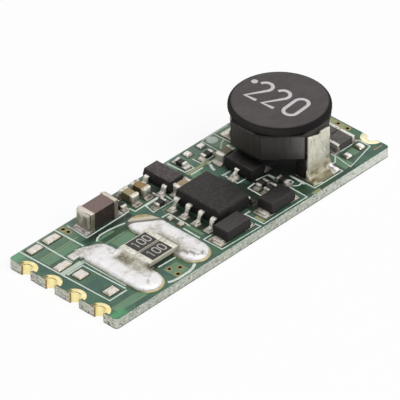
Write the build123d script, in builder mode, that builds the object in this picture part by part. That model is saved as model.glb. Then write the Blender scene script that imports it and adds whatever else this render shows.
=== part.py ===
from build123d import *
import os
from math import cos, radians, sin

os.makedirs("parts", exist_ok=True)

# All sizes in millimetres. The underside of the board lies on Z = 0, its middle on the Z axis,
# and its long side runs along X. Places on the board are measured from its middle.

# Board and its edge contacts
BOARD_LENGTH = 30.6
BOARD_WIDTH = 11.3
BOARD_THICKNESS = 0.9
BOARD_CORNER = 0.3
CONTACT_PITCH = 2.54
CONTACT_HOLE_RADIUS = 0.45
CONTACT_LAND_RADIUS = 0.93
PLATING = 0.05
VIA_RADIUS = 0.15
VIAS = [(-8.0, -4.1), (-7.29, -4.55), (-8.0, -5.0), (-9.83, 4.73), (-9.86, 5.25), (14.9, -0.63), (14.9, -1.61)]

# Solder and the pads under it
PAD = 0.05
PAD_MARGIN = 0.1
TINNED_HEIGHT = 0.13
TINNED_PADS = [
    (-13.2, 5.0, 1.35, 0.75),
    (-11.35, 5.0, 1.5, 0.75),
    (-13.22, 2.03, 1.4, 0.68),
    (-13.1, 0.25, 1.1, 0.95),
    (-13.0, -2.85, 1.15, 0.9),
    (-3.3, 0.27, 0.5, 0.5),
    (-3.3, -0.84, 0.5, 0.5),
    (3.74, 5.08, 0.62, 0.68),
    (5.25, 5.06, 0.62, 0.6),
    (13.66, -3.95, 0.68, 0.78),
    (12.05, -4.08, 0.68, 0.72),
]

# Solder bars that the two link resistors bridge
BAR_LENGTH = 7.4
BAR_WIDTH = 2.4
BAR_HEIGHT = 0.55
BAR_SHOULDER = 0.3
BAR_RIM = 0.1
BAR_SIDE_TAPER = 30
BAR_TOP_TAPER = 60
BAR_LEFT = (-10.25, -1.35)
BAR_RIGHT = (-5.1, -1.35)
SPUR = (-11.45, 2.2, 1.4, 0.6)

# Chip parts: length, width, height, end band
WRAP = 0.03
LINK_SIZE = (3.15, 1.55, 0.6, 0.5)
LINK_X = -7.6
LINK_Y = -1.59
LINK_GAP = 0.03
OVERGLAZE_MARGIN = 0.12
OVERGLAZE_THICKNESS = 0.04
SENSE_SIZE = (2.0, 1.4, 0.65, 0.3)
SENSE_X = 12.85
SENSE_Y = -1.83
SENSE_GAP = 0.12
SMALL_RESISTOR_SIZE = (1.0, 0.5, 0.35, 0.22)
SMALL_RESISTORS = [
    (-4.88, 4.05, 90),
    (-2.55, 2.04, 0),
    (2.4, 4.5, 90),
    (4.6, 3.8, 0),
    (4.65, -1.95, 0),
    (4.65, -2.8, 0),
    (6.05, -2.85, 90),
]
LARGE_CAPACITOR_SIZE = (3.15, 1.6, 1.63, 0.48)
LARGE_CAPACITOR_SEAT = (-7.27, 4.12, 0)
SMALL_CAPACITOR_SIZE = (1.5, 0.8, 0.8, 0.32)
SMALL_CAPACITORS = [(-3.72, 4.2, 90), (-2.47, 4.2, 90), (-0.03, 2.0, 0), (5.38, 2.53, 0)]
CAP_SHARE = 0.04
CAP_EDGE_SHARE = 0.13

# Moulded packages
MOULD_STANDOFF = 0.1
LEAD_THICKNESS = 0.18
LEAD_ROOT = 0.2
CHIP_LENGTH = 4.6
CHIP_WIDTH = 3.55
CHIP_TOP = 1.5
CHIP_SPAN = 6.0
CHIP_LEAD_PITCH = 1.27
CHIP_LEAD_WIDTH = 0.42
CHIP_FOOT = 0.5
CHIP_TAPER = 8
CHIP_SEAT = (0.05, -1.02, 90)
TRANSISTOR_LENGTH = 2.95
TRANSISTOR_WIDTH = 1.63
TRANSISTOR_TOP = 1.15
TRANSISTOR_SPAN = 2.9
TRANSISTOR_LEAD_PITCH = 1.9
TRANSISTOR_LEAD_WIDTH = 0.42
TRANSISTOR_FOOT = 0.4
TRANSISTOR_TAPER = 7
TRANSISTORS = [(-0.27, 3.84, -90), (5.12, 0.32, 90)]
DIODE_LENGTH = 2.75
DIODE_WIDTH = 1.6
DIODE_TOP = 1.1
DIODE_TAPER = 12
DIODE_TAB_LENGTH = 0.42
DIODE_TAB_WIDTH = 0.95
DIODE_TAB_THICKNESS = 0.18
DIODE_PAD_WIDTH = 1.35
DIODES = [(-1.4, -4.4), (3.55, -4.45)]

# Drum inductor on two strap terminals
INDUCTOR_X = 8.85
INDUCTOR_Y = 0.1
DRUM_RADIUS = 4.0
DRUM_BOTTOM = 1.75
DRUM_TOP = 4.9
FLANGE_THICKNESS = 0.65
FLANGE_ROUND = 0.32
POST_RADIUS = 1.7
SLEEVE_THICKNESS = 0.3
SLEEVE_SETBACK = 0.22
SLEEVE_SIDES = 8
SLEEVE_BOTTOM = 2.05
SLEEVE_GAP = 0.05
LAP_THICKNESS = 0.1
LAP_LENGTH = 3.36
WINDING_GAP = 0.12
STRAP_WIDTH = 2.7
STRAP_THICKNESS = 0.2
STRAP_TOP = 4.02
STRAP_TEAR = [(-1.35, 3.93), (0.15, 3.56), (0.25, 4.0), (1.35, 3.91)]
STRAP_BEND = 0.25
STRAP_FOOT = 0.75
STRAP_PAD_SIDE = 0.2
STRAP_PAD_FRONT = 0.12
STRAP_SOLDER_RISE = 0.9
CARRIER_THICKNESS = 0.35
CARRIER_SETBACK = 0.5
LEG_DEPTH = 0.9


def seat(x, y, turn=0):
    """Plane on the board's top face, its x along the piece's long side."""
    return Plane(
        origin=(x, y, BOARD_THICKNESS),
        x_dir=(cos(radians(turn)), sin(radians(turn)), 0),
        z_dir=(0, 0, 1),
    )


def section(place, along=0.0):
    """Upright plane through a seat: x as the seat's, y upwards, at a distance along the seat's y."""
    origin = place.origin + place.y_dir * along
    return Plane(origin=origin, x_dir=place.x_dir, z_dir=place.y_dir * -1)


def across(place):
    """Upright plane through a seat that halves its long side."""
    return Plane(origin=place.origin, x_dir=place.y_dir, z_dir=place.x_dir)


def save(builder, name):
    builder.part.label = name
    export_step(builder.part, f"parts/{name}.step")
    return builder.part


def contact_places():
    """Edge position, height along the edge and start direction of every half-round contact."""
    places = []
    for step in (-1.5, -0.5, 0.5, 1.5):
        places.append((-BOARD_LENGTH / 2, step * CONTACT_PITCH, -1))
    for step in (-1.5, 1.5):
        places.append((BOARD_LENGTH / 2, step * CONTACT_PITCH, 1))
    return places


def circuit_board():
    """Laminate with plated half holes at both ends, recesses for their lands, and vias."""
    points = [(x, y) for x, y, _ in contact_places()]
    with BuildPart() as board:
        with BuildSketch(Plane.XY):
            RectangleRounded(BOARD_LENGTH, BOARD_WIDTH, BOARD_CORNER)
        extrude(amount=BOARD_THICKNESS)
        with BuildSketch(Plane.XY):
            with Locations(*points):
                Circle(CONTACT_HOLE_RADIUS + PLATING)
        extrude(amount=BOARD_THICKNESS, mode=Mode.SUBTRACT)
        for level in (0, BOARD_THICKNESS - PLATING):
            with BuildSketch(Plane.XY.offset(level)):
                with Locations(*points):
                    Circle(CONTACT_LAND_RADIUS)
            extrude(amount=PLATING, mode=Mode.SUBTRACT)
        with Locations(*[(x, y, BOARD_THICKNESS) for x, y in VIAS]):
            Hole(VIA_RADIUS)
    save(board, "circuit_board")


def edge_contact(name, x, y, side):
    """Gold-plated half barrel with a land on each face of the board."""
    start = Plane(origin=(x, y, 0), x_dir=(0, side, 0), z_dir=(side, 0, 0))
    barrel = CONTACT_HOLE_RADIUS + PLATING
    with BuildPart() as contact:
        with BuildSketch(start):
            with BuildLine():
                Polyline(
                    (CONTACT_HOLE_RADIUS, 0),
                    (CONTACT_LAND_RADIUS, 0),
                    (CONTACT_LAND_RADIUS, PLATING),
                    (barrel, PLATING),
                    (barrel, BOARD_THICKNESS - PLATING),
                    (CONTACT_LAND_RADIUS, BOARD_THICKNESS - PLATING),
                    (CONTACT_LAND_RADIUS, BOARD_THICKNESS),
                    (CONTACT_HOLE_RADIUS, BOARD_THICKNESS),
                    close=True,
                )
            make_face()
        revolve(axis=Axis((x, y, 0), (0, 0, 1)), revolution_arc=180)
    save(contact, name)


def tinned_pads():
    """Bare pads with a low cushion of solder."""
    with BuildPart() as pads:
        for x, y, length, width in TINNED_PADS:
            place = seat(x, y)
            with BuildSketch(place):
                Rectangle(length, width)
            extrude(amount=PAD)
            with BuildSketch(place.offset(PAD)):
                Rectangle(length, width)
            extrude(amount=TINNED_HEIGHT - PAD, taper=50)
    save(pads, "tinned_pads")


def end_solder(place, length, width, reach, rise, smooth):
    """Pad and hollow solder joint, smooth or in two facets, before the end face at +x of a seat."""
    pad_length = reach + PAD_MARGIN
    with BuildSketch(place) as pad:
        with Locations((length / 2 + pad_length / 2, 0)):
            Rectangle(pad_length, width + 2 * PAD_MARGIN)
    extrude(pad.sketch, amount=PAD)
    with BuildSketch(section(place)) as joint:
        with BuildLine():
            top = (length / 2, PAD + rise)
            toe = (length / 2 + reach, PAD)
            if smooth:
                Bezier(top, (length / 2 + reach * 0.05, PAD + rise * 0.05), toe)
            else:
                Polyline(top, (length / 2 + reach * 0.25, PAD + rise * 0.35), toe)
            Polyline(toe, (length / 2, PAD), top)
        make_face()
    extrude(joint.sketch, amount=width / 2, both=True)


def chip_capacitor(name, x, y, turn, size, reach, rise, soften):
    """Ceramic block and its two soldered end caps, whose edges are softened by a fillet or chamfer."""
    length, width, height, band = size
    wrap = width * CAP_SHARE
    cap_edge = width * CAP_EDGE_SHARE
    place = seat(x, y, turn)
    with BuildPart() as body:
        with BuildSketch(place.offset(PAD + wrap)):
            Rectangle(length - 2 * wrap, width - 2 * wrap)
        extrude(amount=height - 2 * wrap)
        chamfer(body.edges().filter_by(Axis((0, 0, 0), place.x_dir)), wrap)
    ceramic = save(body, f"{name}_body")
    with BuildPart() as ends:
        with BuildSketch(place.offset(PAD)):
            with Locations((length / 2 - band / 2, 0)):
                Rectangle(band, width)
        extrude(amount=height)
        outer = ends.faces().sort_by(Axis(place.origin, place.x_dir))[-1]
        soften(outer.edges(), cap_edge)
        end_solder(place, length - 2 * cap_edge, width, reach + cap_edge, rise, True)
        with BuildSketch(place):
            with Locations((length / 2 - band / 2, 0)):
                Rectangle(band, width + 2 * PAD_MARGIN)
        extrude(amount=PAD)
        mirror(about=across(place))
        add(ceramic, mode=Mode.SUBTRACT)
    save(ends, f"{name}_ends")


def chip_resistor(name, x, y, turn, size, reach, glazed):
    """Flat ceramic chip, its two wrapped terminations and, on the larger ones, the glaze on top."""
    length, width, height, band = size
    place = seat(x, y, turn)
    with BuildPart() as body:
        with BuildSketch(place.offset(PAD + WRAP)):
            Rectangle(length - 2 * WRAP, width)
        extrude(amount=height - 2 * WRAP)
    save(body, f"{name}_body")
    inner = length / 2 - band
    outer = length / 2
    low, high = PAD, PAD + height
    with BuildPart() as ends:
        with BuildSketch(section(place)):
            with BuildLine():
                Polyline(
                    (inner, low),
                    (outer, low),
                    (outer, high),
                    (inner, high),
                    (inner, high - WRAP),
                    (outer - WRAP, high - WRAP),
                    (outer - WRAP, low + WRAP),
                    (inner, low + WRAP),
                    close=True,
                )
            make_face()
        extrude(amount=width / 2, both=True)
        if reach > 0:
            end_solder(place, length, width, reach, height * 0.75, False)
        with BuildSketch(place):
            with Locations((inner + band / 2, 0)):
                Rectangle(band, width + 2 * PAD_MARGIN if reach > 0 else width)
        extrude(amount=PAD)
        mirror(about=across(place))
    save(ends, f"{name}_ends")
    if glazed:
        with BuildPart() as glaze:
            with BuildSketch(place.offset(high - WRAP)):
                Rectangle(length - 2 * band, width - 2 * OVERGLAZE_MARGIN)
            extrude(amount=OVERGLAZE_THICKNESS)
        save(glaze, f"{name}_glaze")


def solder_bar(name, x, y, inward):
    """Long pad flooded with solder that climbs to the terminations of the link resistors."""
    place = seat(x, y)
    length, width, height, _ = LINK_SIZE
    end_x = LINK_X - inward * length / 2
    with BuildPart() as bar:
        with BuildSketch(place):
            SlotOverall(BAR_LENGTH + 2 * BAR_RIM, BAR_WIDTH + 2 * BAR_RIM, rotation=90)
        extrude(amount=PAD)
        with BuildSketch(place.offset(PAD)):
            SlotOverall(BAR_LENGTH, BAR_WIDTH, rotation=90)
        extrude(amount=BAR_SHOULDER - PAD, taper=BAR_SIDE_TAPER)
        shoulder = bar.faces().sort_by(Axis.Z)[-1]
        extrude(shoulder, amount=BAR_HEIGHT - BAR_SHOULDER, taper=BAR_TOP_TAPER)
        if inward > 0:
            with BuildSketch(seat(*SPUR[:2])):
                Rectangle(*SPUR[2:])
            extrude(amount=TINNED_HEIGHT, taper=20)
        with BuildSketch(section(seat(0, LINK_Y))):
            with BuildLine():
                Polyline(
                    (x, 0),
                    (end_x + inward * PAD_MARGIN, 0),
                    (end_x + inward * PAD_MARGIN, PAD),
                    (end_x, PAD),
                    (end_x, PAD + height * 0.85),
                    (x, BAR_HEIGHT),
                    close=True,
                )
            make_face()
        extrude(amount=width + LINK_GAP / 2, both=True)
        for link in link_places():
            with BuildSketch(link):
                Rectangle(length, width)
            extrude(amount=height + PAD, mode=Mode.SUBTRACT)
    save(bar, name)


def link_places():
    """Seats of the two link resistors, side by side."""
    offset = (LINK_SIZE[1] + LINK_GAP) / 2
    return [seat(LINK_X, LINK_Y + offset), seat(LINK_X, LINK_Y - offset)]


def gull_lead(place, along, half_width, reach, rise, foot, lead_width, side):
    """One lead: out of the body, down, and along its pad; side is +1 or -1 across the seat."""
    plane = Plane(
        origin=place.origin + place.x_dir * along,
        x_dir=place.y_dir * side,
        z_dir=place.x_dir * side,
    )
    heel = reach - foot
    shoulder = (half_width + heel) / 2
    high = rise + LEAD_THICKNESS / 2
    low = PAD + LEAD_THICKNESS / 2
    with BuildSketch(plane) as bend:
        with BuildLine():
            FilletPolyline(
                (half_width - LEAD_ROOT, high),
                (shoulder, high),
                (heel, low),
                (reach, low),
                radius=LEAD_THICKNESS * 0.75,
            )
        trace(line_width=LEAD_THICKNESS)
    extrude(bend.sketch, amount=lead_width / 2, both=True)
    ground = Plane(origin=plane.origin, x_dir=place.y_dir * side, z_dir=(0, 0, 1))
    with BuildSketch(ground) as pad:
        with Locations((reach - foot / 2, 0)):
            Rectangle(foot + 2 * PAD_MARGIN, lead_width + 2 * PAD_MARGIN)
    extrude(pad.sketch, amount=PAD)


def moulded_body(place, length, width, top, taper, lead_part, name):
    """Moulded block with draft above and below its parting line, cut where the leads enter."""
    middle = (MOULD_STANDOFF + top) / 2
    with BuildPart() as body:
        with BuildSketch(place.offset(middle)):
            Rectangle(length, width)
        extrude(amount=top - middle, taper=taper)
        with BuildSketch(place.offset(middle)):
            Rectangle(length, width)
        extrude(amount=-(middle - MOULD_STANDOFF), taper=taper)
        add(lead_part, mode=Mode.SUBTRACT)
    save(body, f"{name}_body")


def driver_chip():
    """Eight-lead driver in a small-outline package."""
    place = seat(*CHIP_SEAT)
    rise = (MOULD_STANDOFF + CHIP_TOP - LEAD_THICKNESS) / 2
    with BuildPart() as leads:
        for side in (-1, 1):
            for step in (-1.5, -0.5, 0.5, 1.5):
                gull_lead(place, step * CHIP_LEAD_PITCH, CHIP_WIDTH / 2, CHIP_SPAN / 2, rise,
                          CHIP_FOOT, CHIP_LEAD_WIDTH, side)
    lead_part = save(leads, "driver_chip_leads")
    moulded_body(place, CHIP_LENGTH, CHIP_WIDTH, CHIP_TOP, CHIP_TAPER, lead_part, "driver_chip")


def transistor(name, x, y, turn):
    """Three-lead transistor: one lead on one side, two on the other."""
    place = seat(x, y, turn)
    rise = (MOULD_STANDOFF + TRANSISTOR_TOP - LEAD_THICKNESS) / 2
    with BuildPart() as leads:
        for side, step in ((1, 0), (-1, -0.5), (-1, 0.5)):
            gull_lead(place, step * TRANSISTOR_LEAD_PITCH, TRANSISTOR_WIDTH / 2, TRANSISTOR_SPAN / 2,
                      rise, TRANSISTOR_FOOT, TRANSISTOR_LEAD_WIDTH, side)
    lead_part = save(leads, f"{name}_leads")
    moulded_body(place, TRANSISTOR_LENGTH, TRANSISTOR_WIDTH, TRANSISTOR_TOP, TRANSISTOR_TAPER,
                 lead_part, name)


def diode(name, x, y):
    """Rectifier with a flat tab under each end."""
    place = seat(x, y)
    with BuildPart() as tabs:
        with BuildSketch(place.offset(PAD)):
            with Locations((DIODE_LENGTH / 2, 0)):
                Rectangle(2 * DIODE_TAB_LENGTH, DIODE_TAB_WIDTH)
        extrude(amount=DIODE_TAB_THICKNESS)
        with BuildSketch(place):
            with Locations((DIODE_LENGTH / 2, 0)):
                Rectangle(2 * (DIODE_TAB_LENGTH + PAD_MARGIN), DIODE_PAD_WIDTH)
        extrude(amount=PAD)
        mirror(about=across(place))
    tab_part = save(tabs, f"{name}_tabs")
    moulded_body(place, DIODE_LENGTH, DIODE_WIDTH, DIODE_TOP, DIODE_TAPER, tab_part, name)


def inductor_core():
    """Ferrite drum: top flange, its rim rounded in two facets, post and bottom flange."""
    place = seat(INDUCTOR_X, INDUCTOR_Y)
    low_flange = sleeve_outer() - SLEEVE_THICKNESS - SLEEVE_GAP
    facet = FLANGE_ROUND * (1 - cos(radians(45)))
    with BuildPart() as core:
        with BuildSketch(section(place)):
            with BuildLine():
                Polyline(
                    (0, DRUM_BOTTOM),
                    (low_flange, DRUM_BOTTOM),
                    (low_flange, DRUM_BOTTOM + FLANGE_THICKNESS),
                    (POST_RADIUS, DRUM_BOTTOM + FLANGE_THICKNESS),
                    (POST_RADIUS, DRUM_TOP - FLANGE_THICKNESS),
                    (DRUM_RADIUS, DRUM_TOP - FLANGE_THICKNESS),
                    (DRUM_RADIUS, DRUM_TOP - FLANGE_ROUND),
                    (DRUM_RADIUS - facet, DRUM_TOP - facet),
                    (DRUM_RADIUS - FLANGE_ROUND, DRUM_TOP),
                    (0, DRUM_TOP),
                    close=True,
                )
            make_face()
        revolve(axis=Axis(place.origin, (0, 0, 1)))
    save(core, "inductor_core")


def sleeve_outer():
    return DRUM_RADIUS - SLEEVE_SETBACK


def ring(place, low, high, outer, inner):
    """Plain ring between two heights above a seat."""
    with BuildSketch(place.offset(low)) as outline:
        Circle(outer)
        Circle(inner, mode=Mode.SUBTRACT)
    extrude(outline.sketch, amount=high - low)


def inductor_winding():
    """Copper turns between the two flanges."""
    place = seat(INDUCTOR_X, INDUCTOR_Y)
    with BuildPart() as winding:
        ring(place, DRUM_BOTTOM + FLANGE_THICKNESS, DRUM_TOP - FLANGE_THICKNESS,
             sleeve_outer() - SLEEVE_THICKNESS - WINDING_GAP, POST_RADIUS)
    save(winding, "inductor_winding")


def lap_points(apothem):
    """Path of the sleeve's outer lap: along its -X side, round a corner and on to the front strap."""
    half_turn = radians(180 / SLEEVE_SIDES)
    side = apothem * sin(half_turn) / cos(half_turn)
    corner = Vector(-apothem, -side)
    way = Vector(sin(2 * half_turn), -cos(2 * half_turn))
    return [Vector(-apothem, side), corner, corner + way * LAP_LENGTH]


def inductor_sleeve():
    """Eight-sided dark sleeve round the winding, with an outer lap that ends beside the front strap."""
    place = seat(INDUCTOR_X, INDUCTOR_Y)
    outer = sleeve_outer()
    flat = 180 / SLEEVE_SIDES
    with BuildPart() as sleeve:
        with BuildSketch(place.offset(SLEEVE_BOTTOM)):
            RegularPolygon(outer, SLEEVE_SIDES, major_radius=False, rotation=flat)
            RegularPolygon(outer - SLEEVE_THICKNESS, SLEEVE_SIDES, major_radius=False, rotation=flat,
                           mode=Mode.SUBTRACT)
            with BuildLine():
                Polyline(*lap_points(outer + LAP_THICKNESS), *reversed(lap_points(outer)), close=True)
            make_face()
        extrude(amount=DRUM_TOP - FLANGE_THICKNESS - SLEEVE_BOTTOM)
    save(sleeve, "inductor_sleeve")


def strap_face():
    """Distance of a strap's inner face from the drum's axis."""
    return sleeve_outer() + LAP_THICKNESS


def inductor_carrier():
    """Base plate under the drum with a leg behind each strap."""
    place = seat(INDUCTOR_X, INDUCTOR_Y)
    leg_middle = strap_face() - LEG_DEPTH / 2
    with BuildPart() as carrier:
        with BuildSketch(place.offset(DRUM_BOTTOM - CARRIER_THICKNESS)):
            Circle(DRUM_RADIUS - CARRIER_SETBACK)
            Rectangle(STRAP_WIDTH, 2 * strap_face())
        extrude(amount=CARRIER_THICKNESS)
        with BuildSketch(place.offset(PAD)):
            with Locations((0, leg_middle), (0, -leg_middle)):
                Rectangle(STRAP_WIDTH, LEG_DEPTH)
        extrude(amount=DRUM_BOTTOM - PAD)
    save(carrier, "inductor_carrier")


def inductor_strap(name, side):
    """Tinned strap: up the side of the drum, and out along its soldered pad."""
    place = seat(INDUCTOR_X, INDUCTOR_Y)
    plane = Plane(origin=place.origin, x_dir=(0, side, 0), z_dir=(side, 0, 0))
    inner = strap_face()
    outer = inner + STRAP_THICKNESS
    toe = outer + STRAP_FOOT
    with BuildPart() as strap:
        with BuildSketch(plane):
            with BuildLine():
                FilletPolyline(
                    (inner + STRAP_THICKNESS / 2, STRAP_TOP),
                    (inner + STRAP_THICKNESS / 2, PAD + STRAP_THICKNESS / 2),
                    (toe, PAD + STRAP_THICKNESS / 2),
                    radius=STRAP_BEND,
                )
            trace(line_width=STRAP_THICKNESS)
        extrude(amount=STRAP_WIDTH / 2, both=True)
        with BuildSketch(plane):
            with BuildLine():
                top = (outer, PAD + STRAP_SOLDER_RISE)
                end = (toe, PAD)
                Bezier(top, (outer + STRAP_FOOT * 0.1, PAD + STRAP_SOLDER_RISE * 0.1), end)
                Polyline(end, (inner + STRAP_BEND, PAD), (outer, PAD + STRAP_BEND), top)
            make_face()
        extrude(amount=STRAP_WIDTH / 2, both=True)
        pad_length = STRAP_THICKNESS + STRAP_FOOT + STRAP_PAD_FRONT + LEG_DEPTH
        with BuildSketch(place):
            with Locations((0, side * (toe + STRAP_PAD_FRONT - pad_length / 2))):
                Rectangle(STRAP_WIDTH + 2 * STRAP_PAD_SIDE, pad_length)
        extrude(amount=PAD)
        face_centre = place.origin + Vector(0, side * outer, 0)
        with BuildSketch(Plane(origin=face_centre, x_dir=(-side, 0, 0), z_dir=(0, side, 0))):
            with BuildLine():
                Polyline(
                    *STRAP_TEAR,
                    (STRAP_WIDTH / 2, STRAP_TOP + STRAP_THICKNESS),
                    (-STRAP_WIDTH / 2, STRAP_TOP + STRAP_THICKNESS),
                    close=True,
                )
            make_face()
        extrude(amount=-STRAP_THICKNESS, mode=Mode.SUBTRACT)
    save(strap, name)


circuit_board()
for number, (x, y, side) in enumerate(contact_places(), 1):
    edge_contact(f"edge_contact_{number}", x, y, side)
tinned_pads()
solder_bar("solder_bar_left", *BAR_LEFT, 1)
solder_bar("solder_bar_right", *BAR_RIGHT, -1)
for number, place in enumerate(link_places(), 1):
    chip_resistor(f"link_resistor_{number}", place.origin.X, place.origin.Y, 0, LINK_SIZE, 0, True)
for number, step in enumerate((-0.5, 0.5), 1):
    chip_resistor(f"sense_resistor_{number}", SENSE_X, SENSE_Y + step * (SENSE_SIZE[1] + SENSE_GAP),
                  0, SENSE_SIZE, 0.2, False)
for number, (x, y, turn) in enumerate(SMALL_RESISTORS, 1):
    chip_resistor(f"small_resistor_{number}", x, y, turn, SMALL_RESISTOR_SIZE, 0.18, False)
chip_capacitor("large_capacitor", *LARGE_CAPACITOR_SEAT, LARGE_CAPACITOR_SIZE, 0.35, 0.9, fillet)
for number, (x, y, turn) in enumerate(SMALL_CAPACITORS, 1):
    chip_capacitor(f"small_capacitor_{number}", x, y, turn, SMALL_CAPACITOR_SIZE, 0.25, 0.5, chamfer)
driver_chip()
for number, (x, y, turn) in enumerate(TRANSISTORS, 1):
    transistor(f"transistor_{number}", x, y, turn)
for number, (x, y) in enumerate(DIODES, 1):
    diode(f"diode_{number}", x, y)
inductor_core()
inductor_winding()
inductor_sleeve()
inductor_carrier()
inductor_strap("inductor_strap_front", -1)
inductor_strap("inductor_strap_rear", 1)
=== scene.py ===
from collections import namedtuple
from itertools import cycle
from math import cos, radians, sin

import bmesh
import bpy
from bpy.props import FloatProperty, FloatVectorProperty, PointerProperty
from mathutils import Matrix, Vector


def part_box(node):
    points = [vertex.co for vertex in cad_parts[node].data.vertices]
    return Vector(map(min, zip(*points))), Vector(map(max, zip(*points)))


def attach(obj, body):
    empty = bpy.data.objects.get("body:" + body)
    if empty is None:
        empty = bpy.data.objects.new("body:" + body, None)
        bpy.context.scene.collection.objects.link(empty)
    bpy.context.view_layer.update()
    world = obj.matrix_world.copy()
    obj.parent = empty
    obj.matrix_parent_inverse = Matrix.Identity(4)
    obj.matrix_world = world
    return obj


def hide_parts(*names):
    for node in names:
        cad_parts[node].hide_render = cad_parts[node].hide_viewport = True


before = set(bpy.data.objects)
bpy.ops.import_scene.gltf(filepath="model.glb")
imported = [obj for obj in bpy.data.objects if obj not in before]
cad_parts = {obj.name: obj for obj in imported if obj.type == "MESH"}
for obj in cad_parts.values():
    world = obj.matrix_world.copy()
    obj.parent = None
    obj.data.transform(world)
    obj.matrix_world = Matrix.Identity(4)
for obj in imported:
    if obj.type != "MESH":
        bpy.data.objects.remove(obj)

bl_info = {
    "name": "LED driver module",
    "version": (1, 0, 0),
    "blender": (4, 5, 0),
    "location": "3D View > Sidebar > Driver module",
    "description": "Dresses the packed LED driver module: board, solder, chips and drum inductor",
    "category": "Object",
}


def linear(red, green, blue):
    """Linear colour of an 8-bit screen colour."""
    parts = [value / 255 for value in (red, green, blue)]
    return tuple(p / 12.92 if p <= 0.04045 else ((p + 0.055) / 1.055) ** 2.4 for p in parts)


def colour(name, description, *screen):
    default = linear(*screen)
    return FloatVectorProperty(
        name=name, description=description, subtype="COLOR", size=3, min=0, max=1, default=default
    )


def length(name, description, default):
    return FloatProperty(
        name=name, description=description, unit="LENGTH", precision=5, min=0, default=default * MM
    )


# Pieces are modelled in millimetres and brought to metres when they are done.
MM = 0.001


class ModuleSizes(bpy.types.PropertyGroup):
    ink_line: length("Ink line", "Width of the printed lines on the board", 0.14)
    ink_height: length("Ink height", "How far the printed lines stand proud", 0.02)
    chip_edge: length("Chip edge", "Rounding of the driver chip's top edges", 0.2)
    package_edge: length("Package edge", "Rounding of the other moulded packages", 0.09)
    bar_height: length("Solder bar height", "Height of the two domed solder bars", 0.46)
    bar_lumps: length("Solder lumps", "Unevenness of the solder bars", 0.04)
    pad_height: length("Pad solder height", "Height of the solder on the bare pads", 0.16)
    digit_height: length("Digit height", "Height of the digits on the inductor", 2.45)
    digit_stroke: length("Digit stroke", "Stroke width of the digits on the inductor", 0.3)


class ModuleColours(bpy.types.PropertyGroup):
    mask: colour("Solder mask", "Green lacquer over bare laminate", 70, 104, 82)
    mask_cold: colour("Cold mask", "Green lacquer over the inner layers", 60, 90, 78)
    mask_copper: colour("Mask on copper", "Green lacquer where copper lies under it", 106, 142, 112)
    mask_edge: colour("Mask at edges", "Thin lacquer at the edge of a copper area", 158, 166, 130)
    # Partly the dark lacquer in the gaps between copper, mostly painted shade beside the tall parts.
    mask_gaps_and_shade: colour("Mask in gaps", "Green lacquer in the gaps between copper", 34, 58, 36)
    # Painted shadow on the lacquer beside the tall packages.
    mask_painted_shadow: colour("Mask in shade", "Darkest lacquer, beside the tall packages", 24, 34, 26)
    mask_olive: colour("Mask on plating", "Lacquer over plated strips", 164, 167, 122)
    ink: colour("Ink", "Printed lines on the board", 218, 227, 218)
    ink_wash: colour("Ink wash", "Thin printed areas", 196, 208, 196)
    laminate: colour("Laminate", "Cut edge of the board", 194, 198, 186)
    gold: colour("Gold", "Plated edge contacts", 247, 230, 160)
    strap: colour("Strap", "Tin plate of the inductor's straps", 226, 223, 206)
    flux: colour("Flux", "Brown stain at the rim of solder", 146, 124, 82)
    ceramic: colour("Alumina", "Sides of the link resistors", 206, 202, 186)
    large_block: colour("Large block", "Ceramic of the large capacitor", 124, 106, 100)
    olive_block: colour("Olive block", "Ceramic of the first small capacitor", 158, 146, 112)
    amber_block: colour("Amber block", "Ceramic of the second small capacitor", 150, 122, 84)
    tan_block: colour("Tan block", "Ceramic of the third small capacitor", 166, 148, 120)
    grey_block: colour("Grey block", "Ceramic of the fourth small capacitor", 140, 132, 112)
    ferrite: colour("Ferrite", "Ground ferrite of the drum", 72, 67, 67)
    sleeve: colour("Sleeve", "Tape round the drum", 54, 50, 46)
    digits: colour("Digits", "Printed digits on the drum", 208, 202, 204)
    floor: colour("Floor", "Floor under the module", 250, 250, 250)


def sizes():
    return bpy.context.scene.module_sizes


def colours():
    return bpy.context.scene.module_colours


# ---- Sizes and places on the board, in millimetres ----

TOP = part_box("circuit_board")[1].z / MM
BOARD_LENGTH = 30.6
CONTACT_PITCH, LIP_RADIUS = 2.54, 0.51
VIAS = [
    (-8.0, -4.1), (-7.29, -4.55), (-8.0, -5.0), (-9.83, 4.73), (-9.86, 5.25), (14.9, -0.63),
    (14.9, -1.61),
]
VIA_HOLE, VIA_RING, VIA_WIRE = 0.34, 0.23, 0.08
# Solder on the pads of the soldered parts, and the lacquer's gap round every pad.
PAD, PAD_GAP = 0.05, 0.18
TINNED_PADS = [
    (-13.2, 5.0, 1.35, 0.75), (-11.35, 5.0, 1.5, 0.75), (-13.26, 2.0, 1.5, 0.76),
    (-13.1, 0.25, 1.1, 0.95), (-13.0, -2.85, 1.15, 0.9), (-3.3, 0.27, 0.5, 0.5),
    (-3.3, -0.84, 0.5, 0.5), (3.74, 5.08, 0.62, 0.68), (5.25, 5.06, 0.62, 0.6),
    (13.66, -3.95, 0.68, 0.78), (12.05, -4.08, 0.68, 0.72),
]
BARE_STRIP = (14.55, -5.08, 1.0, 0.13, -4)

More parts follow.
